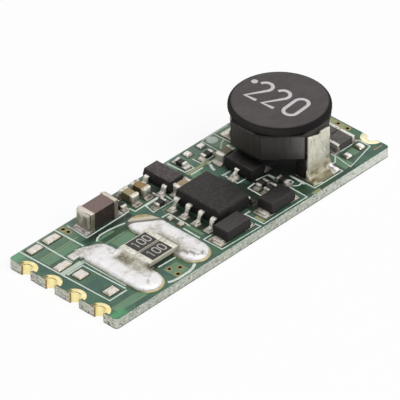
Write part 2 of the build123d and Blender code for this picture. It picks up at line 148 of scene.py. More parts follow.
# Solder bars: x, y and length; the steps of their dome are insets and shares of its height.
BAR_LEFT, BAR_RIGHT = (-10.42, -1.57, 7.35), (-5.28, -1.42, 7.6)
BAR_WIDTH, BAR_FOOT = 2.55, 0.16
BAR_STEPS = ((0.04, 0.26), (0.09, 0.24), (0.16, 0.2), (0.24, 0.1), (0.3, 0.03))
SPUR = [
    (-11.55, 2.12, (1.5, 0.66, 0.2), 0),
    (-11.1, 1.9, (1.0, 1.0, 0.26), -20),
    (-10.75, 1.6, (0.9, 1.1, 0.36), -30),
]
GROOVE_SIZE, GROOVE_TURN, GROOVE_PLACE = (0.62, 2.5, 0.42), (5, 36, 17), (0.0, -3.4, 0.53)
FACET_PLANE = ((0.02, 2.42, 0.42), (0.18, 0.25, 0.95))
FACET_AREA, FACET_LEVEL = (-5.1, 1.5, 3.0, 2.7), -2.93
LINK_X, LINK_Y, LINK_LENGTH = -7.6, -1.59, 3.15
LINK_DIGIT, LINK_DIGIT_PITCH, LINK_DIGIT_STROKE, DIGIT_INK = (0.42, 0.78), 0.6, 0.1, 0.012
# The wedge of solder at the links: its width, its height and how far it falls.
WEDGE_WIDE, WEDGE_HIGH, WEDGE_FALL = 3.2, 0.66, 0.32
# Lumps of the bars: size and share of their height; the rim round a bar: how far out and how high.
BAR_LUMPS, BAR_RIM, RIM_HIGH = [(1.3, 2.4), (0.4, 1.2), (0.16, 0.5)], 0.1, 0.05

# A chip with metal ends: its size is long, wide, high and the band of its ends, a seat is x, y
# and turn, pad is how far its pads reach. Its solder has a reach, a rise, the rounding of the
# end's corners, the grain and smoothing it is melted with, and lumps.
Chip = namedtuple("Chip", "size seats pad reach rise rounding grain smooth lumps")
CHIPS = {
    "large_capacitor": Chip(
        (3.15, 1.6, 1.63, 0.48), [(-7.27, 4.12, 0)],
        0.4, 0.42, 0.6, 0.42, 0.05, 5, [(0.9, 0.08), (0.3, 0.03)],
    ),
    "small_capacitor": Chip(
        (1.5, 0.8, 0.8, 0.32),
        [(-3.72, 4.2, 90), (-2.47, 4.2, 90), (-0.03, 2.0, 0), (5.38, 2.53, 0)],
        0.3, 0.3, 0.42, 0.13, 0.04, 3, [(0.5, 0.07), (0.22, 0.03)],
    ),
    "small_resistor": Chip(
        (1.0, 0.5, 0.35, 0.22),
        [(-4.88, 4.05, 90), (-2.55, 2.04, 0), (2.4, 4.5, 90), (4.6, 3.8, 0)]
        + [(4.65, -1.95, 0), (4.65, -2.8, 0), (6.05, -2.85, 90)],
        0.24, 0.24, 0.26, 0.07, 0.03, 2, [(0.4, 0.06)],
    ),
    "sense_resistor": Chip(
        (2.0, 1.4, 0.65, 0.3), [(12.85, -2.59, 0), (12.85, -1.07, 0)],
        0.24, 0.14, 0.16, 0.06, 0.045, 1, [(0.5, 0.04)],
    ),
}
CAP_STREAK = (-8.9, 3.72, 1.4, 0.1)

# Packages: a row is how far the feet stand from the middle, a foot is its width and depth.
# A lead is shown up to its reach, from inner on; a cone is how far out it stands, its radius,
# the radius of its tip and its height.
CHIP_MIDDLE, CHIP_ROW, CHIP_PITCH, CHIP_FOOT = (0.05, -1.02), 2.5, 1.27, (0.62, 0.66)
TRANSISTOR_SEATS = [((-0.27, 3.84), 1), ((5.12, 0.32), -1)]
TRANSISTOR_ROW, TRANSISTOR_SPREAD, TRANSISTOR_FOOT = 1.32, 0.95, (0.72, 0.72)
DIODE_SEATS, DIODE_ROW, DIODE_FOOT = [(-1.4, -4.4), (3.55, -4.45)], 1.62, (0.68, 1.3)
CHIP_INNER, PACKAGE_INNER, CHIP_REACH, TRANSISTOR_REACH = 1.75, 0.9, 0.7, 0.72
TRANSISTOR_CONE = (1.12, 0.42, 0.14, 0.5)
JOINT_HIGH, JOINT_SHARE, JOINT_TOP, SHIN_SHARE = 0.12, 0.8, (0.66, 0.6, 1), (1, 0.72, 1)
# Shares of the top and the bottom, level of the parting line.
CHIP_DRAFT = ((0.95, 0.96), (0.94, 0.95), 0.5)
TRANSISTOR_DRAFT = ((0.9, 0.94), (0.9, 0.94), 0.45)
DIODE_DRAFT = ((0.93, 0.88), (0.95, 0.92), 0.42)

INDUCTOR_X, INDUCTOR_Y = 8.85, 0.1
FLANGE_LEVEL, FLANGE_RISE, FLANGE_SPREAD = 4.25, 0.09, 1.014
# Slopes of solder are where they start, their reach, their width and their rise.
STRAP_OUT, STRAP_ROW, STRAP_PAD = 4.08, 3.98, (3.1, 1.95)
STRAP_NARROWED, STRAP_LOWERED = 0.17, 0.2
STRAP_SKIRT, STRAP_FLARE = (-0.1, 0.95, 2.75, 0.85), (0.8, 0.75, 1.1, 0.5)
STRAP_POOL = (3.0, 1.3, 0.14)
# Tape is its radius, where it starts and ends, its width and its height.
TAPE_LAP, TAPE_EDGE = (3.92, -69, 16, 0.2, 0.3), (3.93, 170, 206, 0.1, 0.07)
DIGIT_TURN, DIGIT_PLACES = -86, [(8.72, 2.02), (8.84, 0.32), (8.95, -1.5)]
DOT, DOT_RADIUS = (9.33, 3.18), 0.27

# Rectangles on the board: x, y, across and deep.
COPPER_AREAS = [
    (-12.2, 3.25, 3.3, 0.85), (-8.0, 2.0, 2.2, 0.9), (-7.6, 0.85, 1.9, 1.2),
    (-7.65, -4.5, 1.35, 1.3), (-12.9, -4.7, 3.2, 0.7), (-2.1, 1.2, 1.6, 0.5),
    (-2.65, -1.7, 1.0, 2.4), (1.9, 2.7, 1.6, 0.6), (6.5, 4.3, 1.0, 2.0), (11.2, -3.9, 0.9, 2.4),
    (10.9, 3.4, 1.4, 2.8), (13.0, 2.2, 1.6, 2.6), (12.9, -4.0, 0.6, 0.7),
]
# Dark lacquer: partly the real gaps between copper, mostly painted shade beside the tall parts.
GAPS_AND_SHADE = [
    (-2.35, -1.0, 1.1, 4.6), (2.9, -1.1, 1.7, 3.8), (-3.0, 4.95, 3.4, 0.8), (-1.9, 3.6, 1.4, 1.0),
    (1.35, 3.4, 0.9, 1.6), (-6.1, 4.1, 0.9, 1.9), (-7.2, 1.95, 3.6, 0.5), (-9.3, 2.75, 1.5, 0.7),
    (-7.1, 2.1, 0.6, 0.7), (-6.0, 2.8, 2.2, 0.3), (-9.2, 1.7, 0.4, 0.5), (-7.6, -3.25, 2.2, 0.2),
    (-0.9, 2.85, 1.3, 0.5), (6.5, -4.6, 1.0, 1.3), (9.0, -5.4, 5.0, 0.35), (7.4, -1.8, 3.4, 2.0),
    (6.4, -1.6, 1.8, 1.8),
]
# Painted shadow on the lacquer beside the tall packages.
PAINTED_SHADOWS = [
    (2.95, -1.4, 1.6, 3.9), (-2.3, -1.0, 1.0, 4.5), (4.95, 3.4, 1.2, 0.3), (-3.1, 4.9, 2.2, 0.3),
    (-1.6, 3.9, 0.9, 1.6), (0.4, 1.55, 0.8, 0.4), (-8.9, 2.9, 1.3, 0.5), (-7.4, 2.92, 2.4, 0.34),
    (-8.9, 3.5, 0.9, 0.5), (-9.3, 1.1, 0.25, 0.7), (-3.3, -0.25, 0.5, 1.5), (-2.6, 2.1, 1.3, 0.4),
    (5.9, -2.2, 4.2, 2.7), (3.7, -1.2, 0.7, 1.2), (2.6, 0.9, 1.6, 0.8), (2.3, -3.35, 1.3, 1.1),
    (-7.4, 3.3, 4.0, 0.3), (-5.8, 2.85, 1.6, 0.5), (-9.2, 3.9, 0.5, 1.6),
]
OLIVE_AREAS = [
    (14.8, 0.7, 0.72, 5.0), (3.7, 3.3, 3.8, 0.3), (-9.85, 5.0, 0.5, 0.9), (-11.8, 3.78, 4.0, 0.07),
    (7.0, -5.5, 0.9, 0.3), (1.35, -4.75, 0.35, 0.9),
]
BARE_CORNERS = [(-14.9, 5.3, 1.2, 0.9), (-14.7, -5.2, 1.4, 0.7)]
FLUX_SPOTS = [(-9.2, -3.35, 0.9, 0.85), (-6.25, -3.2, 0.5, 0.9), (-8.95, 0.05, 0.5, 0.3)]
STAINED = [(-9.85, -1.25, 0.7, 1.3)]
RAMPED = [(-9.75, -1.9, 1.2, 2.9), (-5.75, -1.9, 0.6, 2.3)]
# Painted shade in the creases of the solder bars and along the right end of the links.
CREASE_SHADE = [
    (-6.0, -3.9, 0.25, 0.6), (-5.75, -4.4, 0.26, 0.6), (-5.3, -4.8, 0.7, 0.14),
    (-5.95, -2.1, 0.22, 2.3), (-10.56, -4.34, 0.1, 0.1), (-10.68, -4.46, 0.1, 0.1),
    (-10.8, -4.58, 0.1, 0.1),
]
DULL_ENDS = [
    (-10.2, 1.9, 1.7, 0.7), (-11.5, 2.0, 1.2, 0.8), (-5.9, -0.3, 0.7, 1.0), (-5.7, -3.4, 0.7, 1.3),
]
VEINED = [(-10.4, 1.7, 1.9, 1.3), (-9.6, -1.2, 1.2, 3.2), (-5.6, -2.3, 1.0, 1.4)]
STRAP_GLINTS = [(9.95, -4.55, 0.7, 0.75)]

# Patches on solder: rectangles, softness of their edge, colour and share.
PAD_FIELDS = [
    # painted highlight in the middle of each tinned pad
    (
        [(x, y, across - 0.5, deep - 0.4) for x, y, across, deep in TINNED_PADS],
        0.16, (244, 241, 238), 0.5,
    ),
    # painted highlight on the two domed pads by the sense resistors
    ([(13.8, -4.0, 0.4, 0.5), (12.2, -4.15, 0.4, 0.5)], 0.06, (250, 249, 247), 1.0),
    ([(4.5, 5.07, 2.6, 0.5)], 0.15, (248, 246, 242), 0.85),
    # painted dark reflection on the same two domed pads
    ([(13.42, -3.85, 0.22, 0.7), (11.82, -4.0, 0.24, 0.7)], 0.08, (78, 82, 74), 0.85),
]
# Painted shade on the leads and pads right of the driver chip.
LEAD_SHADE_FIELDS = [([(2.6, -2.93, 1.1, 0.9), (2.7, -1.66, 1.3, 0.9)], 0.1, (40, 38, 34), 0.92)]
REAR_FIELDS = [
    ([(3.4, 4.5, 3.6, 2.2)], 0.3, (240, 236, 228), 0.55),
    ([(4.5, 2.5, 1.0, 1.2), (-0.9, 2.0, 0.7, 1.2)], 0.25, (232, 228, 218), 0.55),
]
TAB_FIELDS = [
    ([(1.8, -4.0, 0.8, 0.5)], 0.25, (92, 88, 64), 0.85),
    ([(2.05, -4.75, 0.4, 0.4)], 0.2, (226, 222, 218), 0.6),
]
RIM_FIELDS = [([(-11.75, -1.5, 0.5, 6.4), (-6.6, -1.0, 0.4, 3.6)], 0.2, (66, 74, 54), 0.9)]
# Painted shade in the gap between the two link resistors.
LINK_GAP_SHADE = [([(LINK_X, LINK_Y, 4.0, 0.08)], 0.09, (128, 122, 110), 0.6)]

# Solder: base and dark colour, grain, stain, painted shade down the slope as its share and height,
# and patches.
TINS = {
    "via_tin": ((146, 140, 90), (96, 92, 56), 0.7, 0.5, None, ()),
    "pad_tin_flat": ((168, 166, 158), (62, 62, 56), 1.0, 0.15, None, LEAD_SHADE_FIELDS),
    "bare_copper": ((168, 134, 104), (120, 92, 66), 0.6, 0.2, None, ()),
    "bar_rim": ((216, 200, 150), (134, 114, 66), 0.8, 0.4, None, RIM_FIELDS),
    "pad_tin": ((212, 206, 196), (138, 132, 116), 0.8, 0.5, None, PAD_FIELDS),
    "joint_tin": ((222, 217, 204), (74, 70, 60), 0.95, 0.2, (0.95, 0.86), REAR_FIELDS),
    "tiny_tin": ((222, 217, 206), (88, 84, 74), 0.95, 0.2, (0.8, 0.36), REAR_FIELDS),
    "sense_tin": ((232, 228, 222), (92, 88, 82), 0.6, 0.3, (0.8, 0.5), ()),
    "link_tin": ((222, 220, 206), (150, 144, 122), 0.7, 0.2, None, LINK_GAP_SHADE),
    "lead_tin": ((240, 236, 226), (120, 114, 100), 0.5, 0.1, (0.55, 0.75), LEAD_SHADE_FIELDS),
    "tab_tin": ((210, 205, 192), (84, 80, 70), 1.0, 0.2, None, TAB_FIELDS),
}
# Moulded or glazed: colour, grain and the factor of the sides' colour, painted shade below one and
# painted light above.
MOULDS = {
    "chip_mould": ((24, 21, 17), 2.1, 0.45),
    "transistor_1_mould": ((62, 56, 54), 1.5, 0.2),
    "transistor_2_mould": ((30, 28, 26), 1.2, 0.4),
    "diode_1_mould": ((52, 48, 47), 0.8, 0.3),
    "diode_2_mould": ((30, 27, 26), 1.0, 1.5),
    "chip_glaze": ((40, 36, 35), 1.0, 0.7),
    "sense_glaze": ((88, 84, 81), 0.9, 0.8),
    "link_glaze": ((54, 50, 50), 0.5, 0.7),
    "base_mould": ((22, 21, 21), 1.0, 0.7),
    "tape_lap": ((30, 28, 27), 1.0, 0.7),
}

# Printed lines, as runs of points.
INK_LINES = [
    [(-14.16, 5.6), (-14.06, 1.4), (-13.92, -3.6), (-12.1, -3.6)],
    [(-12.37, 5.57), (-12.4, 1.77)],
    [(-10.38, 5.6), (-10.34, 2.6)],
    [(-13.8, 0.95), (-12.14, 0.95), (-12.0, -3.4)],
    [(-9.32, 5.35), (-9.42, 3.17), (-5.19, 3.2), (-4.75, 3.2)],
    [(-9.24, 2.3), (-8.9, 2.55), (-8.47, 2.68), (-7.55, 2.65), (-6.7, 2.52), (-6.07, 2.37)],
    [(7.2, 5.6), (7.25, 4.0), (7.3, 2.8)],
    [(7.2, 4.4), (6.75, 4.25), (6.1, 3.75)],
    [(-8.42, -3.35), (-6.62, -3.42)],
    [(-4.5, 3.45), (-4.43, 2.85), (-3.4, 2.86)],
    [(-3.35, 2.85), (-3.56, 1.75), (-1.43, 1.7), (-1.33, 2.8)],
    [(-1.77, 3.55), (-1.77, 2.98), (-0.66, 2.9)],
    [(-3.64, 0.82), (-2.89, 0.78), (-2.94, -1.5)],
    [(-3.52, -1.35), (-3.56, -3.1)],
    [(-2.63, -3.46), (-3.5, -3.43), (-3.45, -5.3), (0.7, -5.45), (0.62, -4.9)],
    [(0.85, -3.5), (1.57, -3.53)],
    [(1.05, -3.55), (1.1, -5.4), (5.95, -5.45), (5.99, -3.36), (6.2, -2.6)],
    [(1.8, 5.4), (1.92, 3.6), (2.8, 3.5), (2.95, 4.99)],
    [(3.58, 4.4), (3.62, 3.5), (5.75, 3.5), (5.8, 5.5)],
    [(1.95, 3.05), (3.3, 3.02)],
    [(3.9, 3.1), (5.0, 3.05)],
    [(3.52, 1.22), (4.63, 1.13)],
    [(3.69, 1.05), (3.62, -0.36), (4.6, -0.41)],
    [(4.5, -1.3), (3.69, -1.36), (3.67, -2.78)],
    [(7.16, -2.8), (7.24, -5.1), (10.37, -5.16), (10.33, -4.1)],
    [(7.4, -4.85), (8.2, -4.95)],
    [(7.1, -3.93), (6.6, -3.98), (6.02, -3.44)],
    [(5.89, -3.4), (6.7, -3.38), (6.68, -2.95)],
    [(7.1, -2.6), (7.05, -4.2)],
    [(11.5, -3.3), (11.2, -5.25), (14.3, -4.5), (14.3, -3.3), (11.5, -3.3)],
    [(5.91, 5.56), (8.8, 5.52)],
    [(11.5, -2.95), (11.36, -3.5), (10.85, -3.95), (10.4, -3.95)],
    [(4.87, -1.1), (5.97, -1.26), (6.0, -2.2)],
]
BROAD_LINES = [
    [(4.0, 2.9), (3.75, 2.45), (3.66, 2.1)],
    [(-9.29, -5.18), (-8.9, -5.34), (-8.27, -5.42), (-7.2, -5.41), (-6.7, -5.3), (-6.2, -5.05)],
    [(-3.45, 2.82), (-1.45, 2.84)],
    [(6.05, -1.3), (6.1, -3.3)],
]
INK_FILLS = [(-13.0, 1.28, 2.25, 0.46), (-11.72, -0.9, 0.22, 4.6)]
PRINT_DOT, PRINT_DOT_RADIUS = (6.49, 5.03), 0.47

# Stage: lamps are name, place, power and size, in metres; the view is in degrees and pixels.
LAMPS = [
    ("key_lamp", (0.12, -0.42, 0.55), 2.7, 0.5),
    ("top_lamp", (-0.05, 0.12, 0.8), 1.9, 0.6),
]
WORLD_LIGHT, FLOOR_GLOW = 0.28, 0.86
VIEW_TURN, VIEW_TILT, VIEW_PIXELS, VIEW_SENSOR = -46.83, 35.88, 400, 36
VIEW_FOCAL, VIEW_SCALE, VIEW_OFFSET = 4878.0, 13.054, (2.2, 1.5)


# ---- Materials ----


class Field:
    """A value that varies over a surface; arithmetic on it adds Math nodes."""

    def __init__(self, nodes, socket):
        self.nodes = nodes
        self.socket = socket

    def math(self, operation, *values):
        return self.nodes.node("ShaderNodeMath", {"operation": operation}, dict(enumerate(values)))

    def __add__(self, other):
        return self.math("ADD", self, other)

    def __sub__(self, other):
        return self.math("SUBTRACT", self, other)

    def __rsub__(self, other):
        return self.math("SUBTRACT", other, self)

    def __mul__(self, other):
        return self.math("MULTIPLY", self, other)

    def __abs__(self):
        return self.math("ABSOLUTE", self)

    __radd__ = __add__
    __rmul__ = __mul__

    def most(self, other):
        return self.math("MAXIMUM", self, other)

    def least(self, other):
        return self.math("MINIMUM", self, other)

    def step(self, start, end):
        """0 at start, 1 at end, smooth between."""
        return self.nodes.node(
            "ShaderNodeMapRange",
            {"interpolation_type": "SMOOTHSTEP"},
            {"Value": self, "From Min": start, "From Max": end},
        )


class Nodes:
    """Adds nodes to one node tree."""

    def __init__(self, tree):
        self.tree = tree

    def node(self, kind, settings, values, output=0):
        """Adds one node: its settings first, then the values or links of its sockets."""
        made = self.tree.nodes.new(kind)
        for key, value in settings.items():
            setattr(made, key, value)
        for key, value in values.items():
            if isinstance(value, Field):
                self.tree.links.new(value.socket, made.inputs[key])
            else:
                made.inputs[key].default_value = value
        return Field(self, made.outputs[output])

    def link(self, field, name, socket):
        """Feeds a socket of a node that the tree had from the start."""
        self.tree.links.new(field.socket, self.tree.nodes[name].inputs[socket])

    def seen(self):
        """1 for rays that reach the camera straight, mirrored or through glass."""
        straight, mirrored, through = (
            self.node("ShaderNodeLightPath", {}, {}, f"Is {ray} Ray")
            for ray in ("Camera", "Glossy", "Transmission")
        )
        return straight.most(mirrored).most(through)


class Finish(Nodes):
    """One procedural material, on object coordinates in millimetres."""

    def __init__(self, name, base, roughness, metallic=0.0, specular=0.5):
        self.material = bpy.data.materials.new(name)
        self.material.use_nodes = True
        super().__init__(self.material.node_tree)
        self.shader = self.tree.nodes["Principled BSDF"]
        self.material.diffuse_color = flat_colour(base)
        for socket, value in (
            ("Base Color", flat_colour(base)),
            ("Roughness", roughness),
            ("Metallic", metallic),
            ("Specular IOR Level", specular),
        ):
            self.shader.inputs[socket].default_value = value
        place = self.node("ShaderNodeTexCoord", {}, {}, "Object")
        self.place = self.node(
            "ShaderNodeVectorMath", {"operation": "SCALE"}, {"Vector": place, "Scale": 1 / MM}
        )
        self.x, self.y, self.z = self.split(self.place)
        self.level = self.z - TOP

    def split(self, vector):
        made = self.node("ShaderNodeSeparateXYZ", {}, {0: vector}).socket.node
        return [Field(self, output) for output in made.outputs]

    def facing(self):
        """Parts of the surface's own normal along x, y and z."""
        return self.split(self.node("ShaderNodeTexCoord", {}, {}, "Normal"))

    def noise(self, scale, detail=2.0, stretch=None, rough=0.5):
        place = self.place
        if stretch:
            place = self.node("ShaderNodeMapping", {}, {"Vector": place, "Scale": stretch})
        values = {"Vector": place, "Scale": scale, "Detail": detail, "Roughness": rough}
        return self.node("ShaderNodeTexNoise", {}, values)

    def wave(self, settings, values):
        return self.node("ShaderNodeTexWave", settings, {"Vector": self.place, **values}, "Fac")

    def mix(self, base, other, share):
        base, other = (c if isinstance(c, Field) else flat_colour(c) for c in (base, other))
        return self.node("ShaderNodeMix", {"data_type": "RGBA"}, {0: share, 6: base, 7: other}, 2)

    def coats(self, base, *coats):
        """Lays coats over a base one by one; a coat is its share and its colour."""
        for share, other in coats:
            base = self.mix(base, other, share)
        return base

    def distance(self, areas):
        """Distance outside the nearest of some rectangles on the board, negative inside one."""
        nearest = None
        for x, y, across, deep in areas:
            off = (abs(self.x - x) - across / 2).most(abs(self.y - y) - deep / 2)
            nearest = nearest.least(off) if nearest else off
        return nearest

    def inside(self, areas, soft=0.05):
        return self.distance(areas).step(soft, -soft)

    def close(self, shade, roughness, relief, depth, metallic=None):
        """Feeds the shader; the relief's depth is in millimetres."""
        values = {"Height": relief, "Strength": 1.0, "Distance": depth * MM}
        bump = self.node("ShaderNodeBump", {}, values)
        for socket, field in (
            ("Base Color", shade),
            ("Roughness", roughness),
            ("Metallic", metallic),
            ("Normal", bump),
        ):
            if field:
                self.link(field, "Principled BSDF", socket)
        return self.material


def flat_colour(value):
    """Colour of a socket: whole numbers are a screen colour, others are linear."""
    value = tuple(value)
    return (*(linear(*value) if isinstance(value[0], int) else value), 1)


def scaled(base, *factors):
    """Lighter or darker colours of one base."""
    return [tuple(min(1.0, part * factor) for part in flat_colour(base)[:3]) for factor in factors]


def mask_finish():
    """Green lacquer on the faces, cut laminate on the edges."""
    tone = colours()
    finish = Finish("solder_mask", tone.mask, 0.42, specular=0.35)
    patch = finish.noise(0.5, 3)
    grain = finish.noise(7.0, 3, rough=0.7)
    streak = finish.noise(0.8, 3, stretch=(0.3, 3.2, 1))
    copper = finish.distance(COPPER_AREAS)
    raised = copper.step(0.05, -0.05)
    rim = abs(copper).step(0.1, 0.03)
    lacquer = finish.coats(
        tone.mask,
        (patch.step(0.44, 0.58), tone.mask_cold),
        (raised * 0.8, tone.mask_copper),
        (copper.step(0.0, -0.2) * streak.step(0.55, 0.7) * 0.4, tone.mask_edge),
        (rim * patch.step(0.35, 0.6) * 0.4, tone.mask_edge),
        # painted shade beside the tall parts, partly the real dark gaps between copper
        (finish.inside(GAPS_AND_SHADE, 0.1) * 0.9, tone.mask_gaps_and_shade),
        (finish.inside(OLIVE_AREAS, 0.06) * 0.8, tone.mask_olive),
        # painted shadow beside the tall packages
        (finish.inside(PAINTED_SHADOWS, 0.14) * 0.92, tone.mask_painted_shadow),
        (finish.inside(BARE_CORNERS, 0.35) * 0.85, (84, 160, 108)),
        (finish.inside(FLUX_SPOTS, 0.3) * 0.9, (84, 80, 46)),
        (finish.y.step(3.0, 5.6) * 0.32, (152, 172, 156)),
        (grain.step(0.46, 0.28) * 0.35, scaled(tone.mask, 0.55)[0]),
        (grain.step(0.56, 0.76) * 0.3, (150, 176, 156)),
    )
    side_x, _, upward = finish.facing()
    up = abs(upward).step(0.4, 0.7)
    fibre = finish.noise(2.2, 5, stretch=(1.5, 1, 1.9), rough=0.75)
    weave = finish.noise(5.5, 3, stretch=(1, 1, 0.5))
    pits = finish.noise(4.2, 4, stretch=(1, 1, 1.4)).step(0.61, 0.66)
    edge = finish.coats(
        tone.laminate,
        # painted light: the cut edge facing -x is made lighter
        (side_x.step(-0.4, -0.8), (236, 236, 222)),
        (fibre.step(0.48, 0.6) * 0.52, (126, 138, 122)),
        (weave.step(0.52, 0.68) * 0.75, (236, 236, 226)),
        (pits * 0.85, (66, 70, 60)),
        (finish.x.step(6.0, 14.0) * 0.55, (244, 248, 240)),
        # painted contact shadow along the bottom of the cut edge
        (finish.z.step(0.15, 0.04) * 0.7, (96, 104, 92)),
        # painted shade inside the via holes
        (finish.inside([(*via, VIA_HOLE, VIA_HOLE) for via in VIAS]), (26, 22, 12)),
    )
    relief = up * (raised * 0.4 + grain * 0.08) + (1 - up) * (fibre + weave * 0.4 - pits * 0.6)
    return finish.close(finish.mix(edge, lacquer, up), 0.8 - up * 0.4 + patch * 0.06, relief, 0.09)


def ink_finish(name, base, worn_share):
    finish = Finish(name, base, 0.6, specular=0.3)
    worn = finish.noise(2.6, 4, rough=0.6).step(0.42, 0.66) * worn_share
    shade = finish.mix(base, scaled(base, 0.72)[0], worn)
    return finish.close(shade, None, finish.noise(20, 2), 0.006)


def gold_finish():
    """Pale gold, with a brown line of painted shade round the hole's lip and down the barrel's sides,
    a painted shadow beside each barrel, and barrel walls and right-end contacts made paler as painted
    light.
    """
    tone = colours()
    finish = Finish("gold_plate", tone.gold, 0.42, 0.35)
    cloud = finish.noise(2.2, 3)
    deep = BOARD_LENGTH / 2 - abs(finish.x)
    along = finish.y.math("WRAP", finish.y, CONTACT_PITCH, 0) - CONTACT_PITCH / 2
    away = (deep * deep + along * along).math("SQRT", deep * deep + along * along)
    up = finish.facing()[2].step(0.4, 0.8)
    # Painted shade: the brown line round the lip and down the barrel's sides.
    lip = abs(away - LIP_RADIUS).step(0.07, 0.03) * (along.step(-0.4, 0.0) * 0.75 + 0.25)
    side = deep.step(0.14, 0.06) * (1 - up)
    shade = finish.coats(
        tone.gold,
        (cloud.step(0.42, 0.62), (255, 244, 196)),
        # painted shade round the lip and down the barrel's sides
        ((lip * up).most(side) * 0.9, (118, 92, 44)),
        (away.step(0.88, 0.94) * 0.6, (190, 160, 84)),
        (along.step(0.5, 0.62) * deep.step(0.5, 0.36) * up * 0.85, (66, 76, 48)),
        # painted shadow beside each barrel
        (along.step(-0.55, -0.65) * deep.step(0.22, 0.12) * up * 0.9, (60, 52, 30)),
        # painted light: the barrel wall is made paler
        (deep.step(0.14, 0.26) * (1 - up), (255, 242, 184)),
        # painted light: the contacts at the right end are made paler
        (finish.x.step(0, 5) * 0.75, (255, 247, 212)),
    )
    relief = finish.noise(5, 2, stretch=(1, 1, 2.5))
    return finish.close(shade, 0.38 + cloud * 0.15, relief, 0.02, 0.9 - up * 0.55)


def solder_finish(name):
    """Reflowed solder: a mottle of grey over its base, painted shade down its slope where one is
    given, brown flux where it meets the board.
    """
    base, dark, grain, stain, slope_shade, fields = TINS[name]
    finish = Finish(name, base, 0.42, 0.45)
    spots = finish.noise(2.7, 5, rough=0.65)
    fine = finish.noise(7.5, 3, rough=0.7)
    coats = [
        (spots.step(0.48, 0.68) * grain, dark),
        (fine.step(0.55, 0.7) * grain * 0.8, dark),
        (fine.step(0.46, 0.3) * 0.5, (252, 250, 246)),
    ]
    # Painted shade, darker towards the foot of the slope.
    if slope_shade:
        share, high = slope_shade
        streak = finish.noise(3.4, 4, rough=0.7).step(0.38, 0.6)
        slope = finish.level.step(high, high * 0.25) * (0.5 + streak * 0.5)
        coats.append((slope * share, dark))
    coats += [(finish.inside(areas, soft) * share, shade) for areas, soft, shade, share in fields]
    patch = finish.noise(1.9, 3).step(0.36, 0.6)
    coats.append((finish.level.step(0.22, 0.02) * (0.3 + patch * 0.7) * stain, colours().flux))
    shade = finish.coats(base, *coats)
    return finish.close(shade, 0.3 + spots * 0.3, spots * 0.7 + fine * 0.3, 0.07)


def cap_finish():
    """Drawn solder of the large capacitor's ends.

    Pale shoulder, olive streaks, one dark streak, a pink-grey foot and painted shade on the side
    facing -y.
    """
    finish = Finish("cap_tin", (216, 208, 194), 0.42, 0.4)
    level = finish.level
    streak = finish.noise(1.9, 4, stretch=(1.8, 1.8, 0.3), rough=0.65)
    grain = finish.noise(5.5, 4, rough=0.7)
    tall = level.step(0.3, 0.5) * level.step(1.35, 1.1)
    foot = finish.mix((200, 192, 186), (88, 82, 76), grain.step(0.43, 0.6) * 0.85)
    shade = finish.coats(
        (216, 212, 198),
        (streak.step(0.42, 0.6) * 0.9, (142, 138, 118)),
        (level.step(1.25, 1.5), (210, 203, 189)),
        (grain.step(0.56, 0.7) * 0.55, (104, 102, 92)),
        (finish.inside([CAP_STREAK], 0.07) * tall * 0.85, (66, 62, 42)),
        (level.step(0.5, 0.25), foot),
        # painted shade on the side facing -y
        ((finish.facing()[1] * -1).step(0.4, 0.85) * 0.7, (112, 106, 88)),
    )
    return finish.close(shade, 0.34 + grain * 0.25, streak * 0.6 + grain * 0.4, 0.08)


def bar_finish():
    """Thick white solder: grey specks, a stained slope at the links, one smooth cream facet with
    painted shade along its edge, and painted shade in its creases.
    """
    finish = Finish("bar_solder", (236, 234, 234), 0.45, 0.25)
    blotch = finish.noise(1.1, 4, rough=0.6)
    specks = finish.noise(8.5, 3, rough=0.75)
    pits = finish.noise(13.0, 2).step(0.65, 0.72)
    veins = abs(finish.noise(1.5, 4, rough=0.6) - 0.5).step(0.035, 0.006)
    mottle = finish.noise(3.2, 4, rough=0.7).step(0.42, 0.62)
    grit = finish.noise(5.0, 4, rough=0.75).step(0.4, 0.6)
    stained = finish.inside(STAINED, 0.3)
    beyond = finish.y + finish.x * 0.73 - FACET_LEVEL
    facet = beyond.step(-0.03, 0.03) * finish.inside([FACET_AREA], 0.1)
    low = finish.level.step(0.2, 0.05)
    shade = finish.coats(
        (238, 236, 236),
        (blotch.step(0.5, 0.68) * 0.75, (196, 192, 186)),
        (specks.step(0.6, 0.72) * 0.6, (132, 128, 122)),
        (pits * 0.55, (120, 118, 112)),
        (veins * finish.inside(VEINED, 0.5) * 0.75, (140, 132, 114)),
        (finish.inside(DULL_ENDS, 0.7) * 0.8, finish.mix((208, 203, 196), (146, 139, 126), mottle)),
        (finish.inside(RAMPED, 0.35) * 0.85, finish.mix((194, 189, 173), (134, 128, 109), mottle)),
        # painted shade in the creases
        (finish.inside(CREASE_SHADE, 0.16) * 0.85, (112, 106, 88)),
        (stained * 0.85, finish.mix((176, 170, 146), (96, 90, 70), grit)),
        # painted shade on the facet near its edge, cream towards its tip
        (facet * 0.92, finish.mix((104, 98, 84), (214, 208, 190), beyond.step(0.3, 0.85))),
        (low * 0.6, (212, 200, 164)),
        (finish.inside(FLUX_SPOTS, 0.3) * low.most(0.85), (80, 74, 46)),
    )
    relief = blotch + specks * 0.12 + stained * grit * 0.4
    return finish.close(shade, 0.36 + blotch * 0.3, relief, 0.12)


